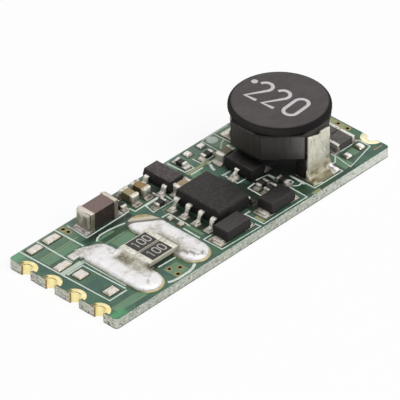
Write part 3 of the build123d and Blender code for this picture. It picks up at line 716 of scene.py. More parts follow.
def strap_finish():
    """Tinned strap: crinkled silver, yellow-brown swirls near the foot, painted shade on its middle
    towards +x and painted glints at its foot.
    """
    tone = colours()
    finish = Finish("tinned_strap", tone.strap, 0.4, 0.45)
    level = finish.level
    crinkle = finish.noise(3.2, 6, stretch=(1.3, 1.3, 0.45), rough=0.75)
    swirl = finish.wave(
        {"wave_type": "RINGS"},
        {"Scale": 0.5, "Distortion": 10.0, "Detail": 3.0, "Detail Scale": 0.9},
    )
    low = level.step(1.7, 0.5) * (finish.y * -1).step(0, 1)
    # Painted shade on the middle of the strap, towards +x.
    shaded_belly = level.step(0.9, 1.6) * level.step(3.2, 2.2)
    shaded_belly = finish.x.step(INDUCTOR_X + 0.1, INDUCTOR_X + 0.8) * shaded_belly
    shade = finish.coats(
        tone.strap,
        (crinkle.step(0.5, 0.68) * 0.7, (156, 152, 130)),
        (crinkle.step(0.45, 0.32) * 0.7, (250, 250, 244)),
        (low * (0.55 + swirl * 0.4), (142, 132, 100)),
        (low * swirl.step(0.6, 0.85) * 0.5, (96, 88, 62)),
        (shaded_belly * crinkle.step(0.4, 0.55) * 0.6, (146, 152, 136)),
        (finish.inside(STRAP_GLINTS, 0.12) * level.step(0.7, 0.35), (250, 246, 246)),
    )
    return finish.close(shade, 0.32 + crinkle * 0.25, crinkle * 0.8 + swirl * low * 0.2, 0.12)


def mould_finish(name):
    """Moulded epoxy or glaze: fine grain and duller sides; the sides' colour is painted shade,
    painted light where its factor is above one.
    """
    base, grain, side_shade = MOULDS[name]
    finish = Finish(name, base, 0.5, specular=0.32)
    up = finish.facing()[2].step(0.2, 0.9)
    fine = finish.noise(6.5, 4, stretch=(1, 0.6, 1), rough=0.75)
    # Painted shade: the sides take a darker copy of the base.
    side, dark, bright = scaled(base, side_shade, 0.5, 2.2)
    bright = tuple(min(1.0, part + 0.01) for part in bright)
    shade = finish.coats(
        side,
        (up, base),
        (fine.step(0.52, 0.7 - grain * 0.03) * grain * (0.3 + up * 0.6), bright),
        (fine.step(0.47, 0.31 + grain * 0.03) * grain, dark),
    )
    return finish.close(shade, 0.66 - up * 0.18 + fine * 0.1, fine, 0.025 * max(1, grain))


def ceramic_finish(name, base, side_shade, shadow_level=0.0, shaded_gap_y=None):
    """Fired block with painted shade on its sides, a green-brown painted shadow up to a given level
    and painted shade along the gap at a given y.
    """
    finish = Finish(name, base, 0.6, specular=0.25)
    up = finish.facing()[2].step(0.3, 0.8)
    fine = finish.noise(5.5, 4, rough=0.65)
    # Painted shade: the sides take a darker copy of the base.
    side, dark, light = scaled(base, side_shade, 0.55, 1.25)
    coats = [
        (up, base),
        (fine.step(0.5, 0.72) * 0.5, dark),
        (fine.step(0.44, 0.3) * up * 0.6, light),
    ]
    # Painted shadow below the given level.
    if shadow_level:
        coats.append((finish.level.step(shadow_level, shadow_level - 0.12), (52, 62, 36)))
    # Painted shade in the gap between the two link resistors.
    if shaded_gap_y:
        coats.append((abs(finish.y - shaded_gap_y).step(0.15, 0.05) * 0.75, (112, 106, 98)))
    return finish.close(finish.coats(side, *coats), None, fine, 0.02)


def ferrite_finish():
    """Ground drum: faint turning marks on top; its rim is painted nearly black as painted shade,
    lighter towards -x as painted light.
    """
    tone = colours()
    finish = Finish("drum_ferrite", tone.ferrite, 0.5, specular=0.25)
    side_x, _, upward = finish.facing()
    up = upward.step(0.9, 0.999)
    cloud = finish.noise(0.6, 4, stretch=(1, 2.2, 1))
    fine = finish.noise(5.0, 4, stretch=(0.6, 1.6, 1), rough=0.7)
    face = finish.coats(
        tone.ferrite,
        (cloud.step(0.42, 0.62) * 0.6, (82, 77, 77)),
        (fine.step(0.5, 0.72) * 0.7, (58, 54, 53)),
    )
    # Painted shade on the rim, with painted light on its side facing -x.
    rim = finish.mix((15, 13, 12), (46, 43, 41), side_x.step(-0.3, -0.95))
    return finish.close(finish.mix(rim, face, up), 0.87 - up * 0.35 + fine * 0.1, fine, 0.015)


def sleeve_finish():
    """Dark tape: vertical brush marks, with painted light on the side between the two straps' faces,
    painted shade low down and a painted shadow under the flange.
    """
    tone = colours()
    finish = Finish("drum_sleeve", tone.sleeve, 0.5, specular=0.3)
    side_x, side_y, _ = finish.facing()
    # Painted light on the side facing -x -y, graded across it.
    facing = (side_x * -0.7071 + side_y * -0.7071).step(0.9, 0.99)
    streak = finish.noise(2.6, 5, stretch=(1.5, 1.5, 0.1), rough=0.7)
    along = (finish.x - finish.y - INDUCTOR_X + INDUCTOR_Y).step(0.0, 3.2)
    lit = finish.coats(
        (60, 57, 55),
        (along * 0.9, (116, 112, 109)),
        (streak.step(0.5, 0.7) * 0.5, (34, 32, 31)),
    )
    # Painted shade: that side is darker low down.
    lit = finish.mix((42, 39, 38), lit, finish.level.step(2.0, 3.0) * 0.6 + 0.4)
    shade = finish.coats(
        tone.sleeve,
        (streak.step(0.42, 0.62) * 0.5, (70, 66, 62)),
        (facing, lit),
        # painted shadow under the flange
        (finish.level.step(4.05, 4.2) * 0.9, (10, 9, 9)),
    )
    return finish.close(shade, 0.42 + streak * 0.25, streak, 0.03)


def copper_finish():
    finish = Finish("enamelled_wire", (170, 92, 48), 0.3, 0.8)
    turns = finish.wave({"bands_direction": "Z"}, {"Scale": 1.4})
    return finish.close(finish.mix((186, 104, 56), (92, 44, 22), turns), None, turns, 0.06)


# ---- Modelling helpers ----


def settle():
    """Back to object mode with nothing selected."""
    if bpy.context.object and bpy.context.object.mode != "OBJECT":
        bpy.ops.object.mode_set(mode="OBJECT")
    bpy.ops.object.select_all(action="DESELECT")


def activate(*pieces):
    settle()
    for piece in pieces:
        piece.select_set(True)
    bpy.context.view_layer.objects.active = pieces[0]


def apply_place(piece):
    activate(piece)
    bpy.ops.object.transform_apply(location=True, rotation=True, scale=True)
    return piece


def block(centre, size, turn=0.0):
    """Box of the given size in millimetres, its place in its mesh."""
    settle()
    bpy.ops.mesh.primitive_cube_add(size=1, location=centre, rotation=(0, 0, radians(turn)))
    piece = bpy.context.object
    piece.scale = size
    return apply_place(piece)


def disc(x, y, level, radius, height, rounding, sides):
    """Low disc with a rounded edge, its middle on a level."""
    settle()
    bpy.ops.mesh.primitive_cylinder_add(
        vertices=sides, radius=radius, depth=height, location=(x, y, level)
    )
    return apply_place(modify(bpy.context.object, "BEVEL", width=rounding, segments=2))


def pick(piece, kind, test):
    """In edit mode, selects only the faces, edges or verts whose middle and way pass the test."""
    bpy.ops.object.mode_set(mode="EDIT")
    bpy.ops.mesh.select_mode(type={"faces": "FACE", "edges": "EDGE", "verts": "VERT"}[kind])
    mesh = bmesh.from_edit_mesh(piece.data)
    for group in (mesh.faces, mesh.edges, mesh.verts):
        for item in group:
            item.select_set(False)
    for item in getattr(mesh, kind):
        if kind == "faces":
            chosen = test(item.calc_center_median(), item.normal)
        elif kind == "edges":
            start, end = (vert.co for vert in item.verts)
            chosen = test((start + end) / 2, (end - start).normalized())
        else:
            chosen = test(item.co, item.normal)
        if chosen:
            item.select_set(True)
    mesh.select_flush_mode()
    bmesh.update_edit_mesh(piece.data)


def facing_top(_, normal):
    return normal.z > 0.9


def finish_edit():
    bpy.ops.object.mode_set(mode="OBJECT")


def edit_all(piece):
    """Edit mode with the whole piece selected."""
    activate(piece)
    bpy.ops.object.mode_set(mode="EDIT")
    bpy.ops.mesh.select_all(action="SELECT")


def shift(piece, test, by):
    """Moves the verts that pass the test."""
    pick(piece, "verts", test)
    bpy.ops.transform.translate(value=by)
    finish_edit()


def widen(piece, kind, test, share, centre):
    """Scales the faces or verts that pass the test about a centre."""
    pick(piece, kind, test)
    bpy.ops.transform.resize(value=share, center_override=centre)
    finish_edit()


def round_edges(piece, test, width, segments):
    """Rounds the edges that pass the test."""
    pick(piece, "edges", test)
    bpy.ops.mesh.bevel(offset=width, segments=segments, affect="EDGES")
    finish_edit()


def cut(piece, point, normal, **settings):
    """Cuts a piece along a plane."""
    edit_all(piece)
    bpy.ops.mesh.bisect(plane_co=point, plane_no=normal, **settings)
    finish_edit()


def modify(piece, kind, **settings):
    """Adds a modifier and applies it."""
    activate(piece)
    made = piece.modifiers.new(kind.lower(), kind)
    for key, value in settings.items():
        setattr(made, key, value)
    bpy.ops.object.modifier_apply(modifier=made.name)
    return piece


def join(pieces):
    if len(pieces) > 1:
        activate(*pieces)
        bpy.ops.object.join()
    return pieces[0]


def fuse(pieces, grain, smooth):
    """Melts overlapping pieces into one closed skin."""
    piece = modify(join(pieces), "REMESH", mode="VOXEL", voxel_size=grain)
    return modify(piece, "SMOOTH", factor=0.5, iterations=smooth)


def lumps(piece, *layers):
    """Uneven surface from cloud textures: (size of a lump, height) in millimetres."""
    for size, height in layers:
        cloud = bpy.data.textures.new(f"lumps_{size}", "CLOUDS")
        cloud.noise_scale = size
        cloud.noise_depth = 2
        modify(piece, "DISPLACE", texture=cloud, texture_coords="LOCAL", strength=height)
    return piece


def done(piece, name, material, *nodes, smooth=35, slot=None):
    """Names a piece, gives it its finish, brings it to metres and puts it on the module."""
    piece.name = name
    piece.data.name = name
    piece.data.materials.clear()
    piece.data.materials.append(material)
    piece.scale = (MM, MM, MM)
    apply_place(piece)
    activate(piece)
    bpy.ops.object.shade_smooth_by_angle(angle=radians(smooth))
    settle()
    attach(piece, "root")
    if nodes:
        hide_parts(*nodes)


def dress(node, material):
    """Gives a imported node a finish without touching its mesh."""
    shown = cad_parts[node]
    if not shown.material_slots:
        shown.data.materials.append(material)
    for place in shown.material_slots:
        place.material = material


def twin(source, name):
    """Second object with a mesh of its own."""
    made = bpy.data.objects.new(name, source.data.copy())
    bpy.context.scene.collection.objects.link(made)
    return made


def copy_of(node):
    """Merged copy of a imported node's mesh, in millimetres."""
    piece = twin(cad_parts[node], node + "_copy")
    piece.scale = (1 / MM, 1 / MM, 1 / MM)
    edit_all(apply_place(piece))
    bpy.ops.mesh.remove_doubles(threshold=0.0005)
    bpy.ops.mesh.dissolve_limited(angle_limit=radians(2))
    finish_edit()
    return piece


def softened(node, edge, segments=2, angle=35):
    """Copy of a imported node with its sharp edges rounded."""
    limit = {"limit_method": "ANGLE", "angle_limit": radians(angle)}
    return modify(copy_of(node), "BEVEL", width=edge, segments=segments, **limit)


def rounded(node, edge, name, material, slot):
    """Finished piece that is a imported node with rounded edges."""
    done(softened(node, edge), name, material, node, slot=slot)


def placed(piece, x, y, turn=0.0):
    """Turns a piece modelled at the origin and sets it on the board."""
    piece.rotation_euler = (0, 0, radians(turn))
    piece.location = (x, y, TOP)
    return apply_place(piece)


def strokes(lines, width, height, level):
    """Flat ink lines on a level; a line is its points and whether it closes on itself."""
    settle()
    bpy.ops.curve.primitive_bezier_curve_add()
    curve = bpy.context.object.data
    curve.splines.clear()
    curve.dimensions = "3D"
    curve.bevel_depth = width / 2
    curve.bevel_resolution = 2
    curve.use_fill_caps = True
    for points, closed in lines:
        run = curve.splines.new("POLY")
        run.points.add(len(points) - 1)
        for point, (x, y) in zip(run.points, points):
            point.co = (x, y, 0, 1)
        run.use_cyclic_u = closed
    activate(bpy.context.object)
    bpy.ops.object.convert(target="MESH")
    piece = bpy.context.object
    piece.scale = (1, 1, 2 * height / width)
    piece.location = (0, 0, level)
    return apply_place(piece)


def arc_points(x, y, radius, start, end, steps=24):
    turns = [radians(start + (end - start) * k / steps) for k in range(steps + 1)]
    return [(x + radius * cos(turn), y + radius * sin(turn)) for turn in turns]


def digit_lines(digit, x, y, wide, tall, turn):
    """Lines that draw one digit in single strokes, about its middle."""
    half, top = wide / 2, tall / 2
    bend = top - half
    if digit == "0":
        run = arc_points(0, bend, half, 0, 180, 10) + arc_points(0, -bend, half, 180, 360, 10)
    elif digit == "1":
        run = [(-half * 0.7, top * 0.62), (half * 0.1, top), (half * 0.1, -top)]
    else:
        run = arc_points(0, bend, half, 165, -35, 12) + [(-half, -top), (half, -top)]
    lean = Matrix.Rotation(radians(turn), 2)
    return [([tuple(lean @ Vector(point) + Vector((x, y))) for point in run], digit == "0")]


def plates(areas, height, corner):
    """Thin plates with rounded corners on the board; an area is x, y, across, deep and turn."""
    pieces = []
    for x, y, across, deep, *turn in areas:
        plate = block((0, 0, height / 2), (across, deep, height))
        round_edges(plate, lambda co, way: abs(way.z) > 0.9, min(corner, deep * 0.3), 4)
        round_edges(plate, lambda co, way: co.z > height * 0.9, height * 0.4, 2)
        pieces.append(placed(plate, x, y, *turn))
    return join(pieces)


# ---- Pieces ----


def lead_feet():
    """Pads under the leads of each package: x, y, across and deep."""
    x, y = CHIP_MIDDLE
    feet = {
        "driver_chip": [
            (x + side * CHIP_ROW, y + step * CHIP_PITCH, *CHIP_FOOT)
            for side in (-1, 1)
            for step in (-1.5, -0.5, 0.5, 1.5)
        ]
    }
    for number, ((x, y), single) in enumerate(TRANSISTOR_SEATS, 1):
        away, spread = single * TRANSISTOR_ROW, TRANSISTOR_SPREAD
        places = ((x + away, y), (x - away, y - spread), (x - away, y + spread))
        feet[f"transistor_{number}"] = [(*place, *TRANSISTOR_FOOT) for place in places]
    for number, (x, y) in enumerate(DIODE_SEATS, 1):
        feet[f"diode_{number}"] = [(x + side * DIODE_ROW, y, *DIODE_FOOT) for side in (-1, 1)]
    return feet


def joint_pads():
    """Pads under every soldered part: x, y, across, deep and turn."""
    pads = []
    for chip in CHIPS.values():
        long, wide, _, band = chip.size
        across = band + chip.pad + 0.12
        away = long / 2 - band + across / 2
        for x, y, turn in chip.seats:
            for off in (-away, away):
                place = (x + off * cos(radians(turn)), y + off * sin(radians(turn)))
                pads.append((*place, across - 0.06, wide + 0.06, turn))
    return pads + [(*foot, 0) for feet in lead_feet().values() for foot in feet]


class MODULE_OT_board(bpy.types.Operator):
    """Finish the board, ring its vias and open the lacquer round the pads"""

    bl_idname = "driver_module.board"
    bl_label = "Board"

    def execute(self, context):
        dress("circuit_board", mask_finish())
        rings = []
        for x, y in VIAS:
            settle()
            bpy.ops.mesh.primitive_torus_add(
                major_radius=VIA_RING, minor_radius=VIA_WIRE, major_segments=24, minor_segments=8
            )
            ring = bpy.context.object
            ring.scale = (1, 1, 0.25)
            rings.append(placed(ring, x, y))
        done(join(rings), "via_rings", solder_finish("via_tin"), slot="gold")
        pads = joint_pads() + [(*pad, 0) for pad in TINNED_PADS]
        pads += [(INDUCTOR_X, INDUCTOR_Y + side * STRAP_ROW, *STRAP_PAD, 0) for side in (-1, 1)]
        gaps = [(x, y, across + PAD_GAP, deep + PAD_GAP, turn) for x, y, across, deep, turn in pads]
        dark = ink_finish("pad_gap", (60, 66, 44), 0.7)
        done(plates(gaps, 0.012, 0.12), "pad_gaps", dark, slot="board")
        flat_tin = solder_finish("pad_tin_flat")
        done(plates(joint_pads(), PAD, 0.06), "joint_pads", flat_tin, slot="solder")
        strip = plates([BARE_STRIP], 0.02, 0.04)
        done(strip, "bare_strip", solder_finish("bare_copper"), slot="gold")
        return {"FINISHED"}


class MODULE_OT_print(bpy.types.Operator):
    """Lay the printed lines on the board"""

    bl_idname = "driver_module.print"
    bl_label = "Board print"

    def execute(self, context):
        made, tone = sizes(), colours()
        width, height = made.ink_line / MM, made.ink_height / MM
        pieces = [
            strokes([(line, False) for line in lines], width * share, height, TOP)
            for lines, share in ((INK_LINES, 1), (BROAD_LINES, 1.7))
        ]
        pieces.append(disc(*PRINT_DOT, TOP, PRINT_DOT_RADIUS, height * 2, height * 0.8, 40))
        done(join(pieces), "board_print", ink_finish("board_ink", tone.ink, 0.45))
        wash = plates(INK_FILLS, height * 0.8, 0.05)
        done(wash, "board_wash", ink_finish("board_ink_wash", tone.ink_wash, 0.45))
        return {"FINISHED"}


class MODULE_OT_contacts(bpy.types.Operator):
    """Round the lips of the edge contacts and plate them"""

    bl_idname = "driver_module.contacts"
    bl_label = "Edge contacts"

    def execute(self, context):
        gold = gold_finish()
        for number in range(1, 7):
            rounded(f"edge_contact_{number}", 0.018, f"gold_contact_{number}", gold, "gold")
        return {"FINISHED"}


def stadium(across, deep, height, *insets):
    """Slab on the board, round at both ends, stepped up by insets of a width and a rise."""
    half = (deep - across) / 2
    settle()
    bpy.ops.mesh.primitive_circle_add(vertices=64, radius=across / 2, fill_type="NGON")
    slab = bpy.context.object
    shift(slab, lambda co, n: co.y > 0.001, (0, half, 0))
    shift(slab, lambda co, n: co.y < -0.001, (0, -half, 0))
    pick(slab, "faces", lambda co, n: True)
    bpy.ops.mesh.extrude_region_move(TRANSFORM_OT_translate={"value": (0, 0, height)})
    for width, rise in insets:
        bpy.ops.mesh.inset(thickness=width, depth=rise)
    finish_edit()
    return slab


def solder_bar(x, y, long, inward):
    """Domed stadium of solder that climbs to the ends of the link resistors."""
    rise, lump = sizes().bar_height / MM - 0.1, sizes().bar_lumps / MM
    bar = stadium(BAR_WIDTH, long, BAR_FOOT, *((width, share * rise) for width, share in BAR_STEPS))
    edit_all(bar)
    bpy.ops.mesh.normals_make_consistent(inside=False)
    finish_edit()
    start = inward * 0.05
    end = LINK_X - inward * (LINK_LENGTH / 2 - 0.04) - x
    size = (abs(end - start), WEDGE_WIDE, WEDGE_HIGH)
    wedge = block(((start + end) / 2, LINK_Y - y, WEDGE_HIGH / 2), size)
    shift(wedge, lambda co, n: co.z > 0.5 and abs(co.x - start) < 0.01, (0, 0, -WEDGE_FALL))
    pieces = [bar, wedge]
    if inward > 0:
        for across, deep, size, turn in SPUR:
            pieces.append(block((across - x, deep - y, size[2] / 2), size, turn))
    else:
        groove = block((0, 0, 0), GROOVE_SIZE)
        groove.rotation_euler = [radians(turn) for turn in GROOVE_TURN]
        groove.location = GROOVE_PLACE
        apply_place(groove)
        modify(bar, "BOOLEAN", object=groove, operation="DIFFERENCE")
        bpy.data.objects.remove(groove)
    return lumps(fuse(pieces, 0.05, 5), *((size, lump * share) for size, share in BAR_LUMPS))


class MODULE_OT_solder(bpy.types.Operator):
    """Pour the two solder bars and tin the bare pads"""

    bl_idname = "driver_module.solder"
    bl_label = "Solder"

    def execute(self, context):
        thick = bar_finish()
        for name, (x, y, long), inward in (("left", BAR_LEFT, 1), ("right", BAR_RIGHT, -1)):
            bar = solder_bar(x, y, long, inward)
            if inward < 0:
                cut(bar, *FACET_PLANE, use_fill=True, clear_outer=True)
            placed(bar, x, y)
            done(bar, f"{name}_solder_bar", thick, f"solder_bar_{name}", slot="solder")
        rims = []
        for x, y, long in (BAR_LEFT, BAR_RIGHT):
            slab = stadium(BAR_WIDTH + BAR_RIM, long + 2 * BAR_RIM, RIM_HIGH, (0.03, 0.02))
            rims.append(placed(slab, x + 0.05, y - 0.03))
        done(join(rims), "solder_bar_rims", solder_finish("bar_rim"), slot="solder")
        pads = []
        height = sizes().pad_height / MM
        for x, y, across, deep in TINNED_PADS:
            pad = block((x, y, TOP + height / 2), (across, deep, height))
            widen(pad, "faces", facing_top, (0.8, 0.66, 1), (x, y + 0.04, TOP))
            pads.append(pad)
        pool = lumps(fuse(pads, 0.04, 3), (0.45, 0.06), (0.2, 0.03))
        done(pool, "pad_solder", solder_finish("pad_tin"), "tinned_pads", slot="solder")
        return {"FINISHED"}


def ramp(start, reach, wide, rise):
    """Hollow slope of solder, along +x from a height down to its pad."""
    cuts = 7
    piece = block((start + reach / 2, 0, PAD / 2 + rise / 2), (reach, wide, rise + PAD))
    pick(piece, "edges", lambda co, way: abs(way.x) > 0.9)
    bpy.ops.mesh.subdivide(number_cuts=cuts)
    for step in range(1, cuts + 2):
        share = step / (cuts + 1)
        place, drop = start + reach * share, rise * (1 - (1 - share) ** 2.6)
        shift(piece, lambda co, n: abs(co.x - place) < 0.01 and co.z > PAD, (0, 0, -drop))
    return piece


def soldered_end(chip):
    """Metal end of a chip melted into its slope of solder, out along +x, its seat at the origin."""
    long, wide, high, band = chip.size
    reach, rounding = chip.reach, chip.rounding
    middle = (long - band) / 2
    cap = block(
        (middle + rounding * 0.12, 0, PAD + high / 2), (band + rounding * 0.24, wide + 0.02, high)
    )
    round_edges(cap, lambda co, way: co.x > long / 2 - 0.01, rounding, 4)
    slope = ramp(long / 2 - rounding, reach + rounding, wide, chip.rise)
    foot = block((middle + reach / 2, 0, 0.05), (band + reach, wide + 0.08, 0.1))
    return fuse([cap, slope, foot], chip.grain, chip.smooth)


def chip_ends(node, seat, chip, master, material):
    """Both metal ends of a chip, from one modelled end."""
    x, y, turn = seat
    ends = [placed(twin(master, node), x, y, turn + half) for half in (0, 180)]
    piece = lumps(join(ends), *chip.lumps)
    done(piece, node + "_joints", material, node + "_ends", smooth=60, slot="solder")


class MODULE_OT_chips(bpy.types.Operator):
    """Solder in the capacitors and the chip resistors"""

    bl_idname = "driver_module.chips"
    bl_label = "Chips"

    def execute(self, context):
        tone = colours()
        blocks = (tone.olive_block, tone.amber_block, tone.tan_block, tone.grey_block)
        small = [ceramic_finish(f"small_block_{n}", base, 0.36) for n, base in enumerate(blocks, 1)]
        large = [ceramic_finish("large_block", tone.large_block, 0.15)]
        finishes = {
            "large_capacitor": (cap_finish(), large),
            "small_capacitor": (solder_finish("joint_tin"), small),
            "small_resistor": (solder_finish("tiny_tin"), [mould_finish("chip_glaze")]),
            "sense_resistor": (solder_finish("sense_tin"), [mould_finish("sense_glaze")]),
        }
        for kind, chip in CHIPS.items():
            master = soldered_end(chip)
            tin, bodies = finishes[kind]
            for number, (seat, body) in enumerate(zip(chip.seats, cycle(bodies)), 1):
                node = f"{kind}_{number}" if len(chip.seats) > 1 else kind
                chip_ends(node, seat, chip, master, tin)
                dress(node + "_body", body)
            bpy.data.objects.remove(master)
        return {"FINISHED"}


class MODULE_OT_links(bpy.types.Operator):
    """Finish the two link resistors and print their digits"""

    bl_idname = "driver_module.links"
    bl_label = "Link resistors"

    def execute(self, context):
        alumina = ceramic_finish("alumina", colours().ceramic, 0.75, 0.34, LINK_Y)
        glaze, tin = mould_finish("link_glaze"), solder_finish("link_tin")
        lines = []
        for number in (1, 2):
            node = f"link_resistor_{number}"
            rounded(node + "_body", 0.02, f"link_ceramic_{number}", alumina, "alumina")
            rounded(node + "_glaze", 0.012, f"link_glaze_{number}", glaze, "overglaze")
            rounded(node + "_ends", 0.008, f"link_ends_{number}", tin, "solder")
            low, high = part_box(node + "_body")
            middle = (low + high) / 2 / MM
            for step, digit in enumerate("100", -1):
                place = middle.x + step * LINK_DIGIT_PITCH
                lines += digit_lines(digit, place, middle.y, *LINK_DIGIT, 0)
        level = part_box("link_resistor_1_glaze")[1].z / MM
        digits = strokes(lines, LINK_DIGIT_STROKE, DIGIT_INK, level)
        done(digits, "link_digits", ink_finish("link_print", (196, 192, 186), 0.5))
        return {"FINISHED"}


def moulded(node, top_share, bottom_share, parting, rounding, material, soft_end=0):
    """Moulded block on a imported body's box: drafted both ways from its parting line and rounded."""
    low, high = (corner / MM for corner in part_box(node + "_body"))
    middle, size = (low + high) / 2, high - low
    piece = block(middle, size)
    level = low.z + size.z * parting
    cut(piece, (0, 0, level), (0, 0, 1))
    widen(piece, "faces", facing_top, (*top_share, 1), (middle.x, middle.y, high.z))
    widen(piece, "faces", lambda co, n: n.z < -0.9, (*bottom_share, 1), (middle.x, middle.y, low.z))

    def sharp(co, way):
        """True for edges off the parting line, but not for those of the soft end's rounding."""
        near_end = co.y < low.y + soft_end * 1.6 and co.z > high.z - soft_end * 1.3
        return abs(co.z - level) > 0.01 and not (soft_end and near_end and abs(way.x) > 0.9)

    def front(co, way):
        return abs(way.x) > 0.9 and co.z > high.z - 0.01 and co.y < middle.y

    if soft_end:
        round_edges(piece, front, soft_end, 6)
    round_edges(piece, sharp, rounding, 3)
    done(piece, node + "_mould", material, node + "_body", slot="mould")


def mound(x, y, radius, tip, rise):
    """Cone of solder on a pad."""
    settle()
    bpy.ops.mesh.primitive_cone_add(
        vertices=24, radius1=radius, radius2=tip, depth=rise, location=(x, y, TOP + rise / 2)
    )
    cone = bpy.context.object
    round_edges(cone, lambda co, way: abs(way.z) < 0.1 and co.z > TOP + rise * 0.9, tip * 0.4, 2)
    return apply_place(cone)


def leads(node, name, feet, material, inner=PACKAGE_INNER, reach=1.0, cones=()):
    """Leads of one package, drawn in to their reach and melted into the solder under their feet."""
    pieces = [copy_of(node)]
    low, high = (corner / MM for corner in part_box(node))
    for side in (-1, 1):
        start = (low.x + high.x) / 2 + side * inner

        def beyond(co, _):
            return (co.x - start) * side > 0.001

        widen(pieces[0], "verts", beyond, (reach, 1, 1), (start, 0, 0))
    for x, y, across, deep in feet:
        size = (across * JOINT_SHARE, deep * JOINT_SHARE, JOINT_HIGH)
        joint = block((x, y, TOP + JOINT_HIGH / 2), size)
        widen(joint, "faces", facing_top, JOINT_TOP, (x, y, TOP + JOINT_HIGH))
        pieces.append(joint)
    piece = fuse(pieces + [mound(*cone) for cone in cones], 0.035, 2)
    if reach < 1:
        for _, row, *_ in feet[:4]:

            def shin(co, _):
                return abs(co.y - row) < 0.35 and abs(co.z - TOP - 0.42) < 0.2

            widen(piece, "verts", shin, SHIN_SHARE, (0, row, 0))
        modify(piece, "SMOOTH", factor=0.5, iterations=2)
    lumps(piece, (0.4, 0.03), (0.18, 0.02))
    done(piece, name, material, node, smooth=60, slot="lead")


class MODULE_OT_packages(bpy.types.Operator):
    """Mould the driver chip, the transistors and the diodes, and solder their leads"""

    bl_idname = "driver_module.packages"
    bl_label = "Packages"

    def execute(self, context):
        chip_edge, edge = sizes().chip_edge / MM, sizes().package_edge / MM
        tin, tab_tin = solder_finish("lead_tin"), solder_finish("tab_tin")
        feet = lead_feet()
        stippled = mould_finish("chip_mould")
        moulded("driver_chip", *CHIP_DRAFT, chip_edge * 0.7, stippled, chip_edge * 1.9)
        pins = feet["driver_chip"]
        leads("driver_chip_leads", "driver_chip_pins", pins, tin, CHIP_INNER, CHIP_REACH)
        (x, y), single = TRANSISTOR_SEATS[1]
        cone = (x + single * TRANSISTOR_CONE[0], y, *TRANSISTOR_CONE[1:])
        for node, drawn in (
            ("transistor_1", {}),
            ("transistor_2", {"reach": TRANSISTOR_REACH, "cones": [cone]}),
        ):
            moulded(node, *TRANSISTOR_DRAFT, edge, mould_finish(node + "_mould"))
            leads(node + "_leads", node + "_pins", feet[node], tin, **drawn)
        for node in ("diode_1", "diode_2"):
            moulded(node, *DIODE_DRAFT, edge * 1.3, mould_finish(node + "_mould"))
            leads(node + "_tabs", node + "_tabs_tinned", feet[node], tab_tin)
        return {"FINISHED"}


def strap(side, name, node, material):
    """Tinned strap melted into a spread of solder on its pad."""
    piece = copy_of(node)
    shift(piece, lambda co, n: co.x < INDUCTOR_X - 1.2, (STRAP_NARROWED, 0, 0))
    high = TOP + 3.85
    shift(piece, lambda co, n: co.z > high and co.x > INDUCTOR_X + 0.2, (0, 0, -STRAP_LOWERED))
    face = INDUCTOR_Y + side * STRAP_OUT
    centre = face + side * 0.42
    pool = block((INDUCTOR_X + 0.05, centre - side * 0.1, TOP + STRAP_POOL[2] / 2), STRAP_POOL)
    widen(pool, "faces", facing_top, (0.94, 0.8, 1), (INDUCTOR_X, centre, TOP))
    skirt = placed(ramp(*STRAP_SKIRT), INDUCTOR_X, face, 90 * side)
    flare = placed(ramp(*STRAP_FLARE), INDUCTOR_X, face + side * 0.35)
    lumps(fuse([piece, pool, skirt, flare], 0.045, 7), (0.8, 0.07), (0.3, 0.03), (0.15, 0.015))
    done(piece, name, material, node, smooth=60, slot="lead")


def tape(name, strip, below, material):
    """Strip of tape along an arc of the drum's side, below its flange."""
    radius, start, end, wide, tall = strip
    arc = arc_points(INDUCTOR_X, INDUCTOR_Y, radius, start, end)
    line = strokes([(arc, False)], wide, tall, TOP + FLANGE_LEVEL - below)
    done(line, name, material, slot="sleeve")


class MODULE_OT_inductor(bpy.types.Operator):
    """Finish the drum inductor, its straps and its digits"""

    bl_idname = "driver_module.inductor"
    bl_label = "Inductor"

    def execute(self, context):
        made, tone = sizes(), colours()
        flange = TOP + FLANGE_LEVEL
        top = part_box("inductor_core")[1].z / MM + FLANGE_RISE
        drum = softened("inductor_core", 0.09, 3, 15)

        def above(co, _):
            return co.z > flange - 0.02

        shift(drum, above, (0, 0, FLANGE_RISE))
        widen(drum, "verts", above, (FLANGE_SPREAD, FLANGE_SPREAD, 1), (INDUCTOR_X, INDUCTOR_Y, 0))
        done(drum, "drum_core", ferrite_finish(), "inductor_core", slot="ferrite", smooth=50)
        rounded("inductor_sleeve", 0.035, "drum_sleeve", sleeve_finish(), "sleeve")
        dress("inductor_winding", copper_finish())
        rounded("inductor_carrier", 0.06, "inductor_base", mould_finish("base_mould"), "carrier")
        tin = strap_finish()
        strap(-1, "front_strap", "inductor_strap_front", tin)
        strap(1, "rear_strap", "inductor_strap_rear", tin)
        tape("tape_lap", TAPE_LAP, 0.2, mould_finish("tape_lap"))
        tape("tape_edge", TAPE_EDGE, 0.1, ink_finish("tape_lip", (104, 99, 95), 0.9))
        tall = made.digit_height / MM
        lines = []
        for digit, (x, y) in zip("220", DIGIT_PLACES):
            lines += digit_lines(digit, x, y, tall * 0.47, tall, DIGIT_TURN)
        digits = strokes(lines, made.digit_stroke / MM, DIGIT_INK, top)
        dot = disc(*DOT, top, DOT_RADIUS, DIGIT_INK * 2, DIGIT_INK * 2 / 3, 32)
        done(join([digits, dot]), "inductor_digits", ink_finish("drum_print", tone.digits, 0.25))
        return {"FINISHED"}


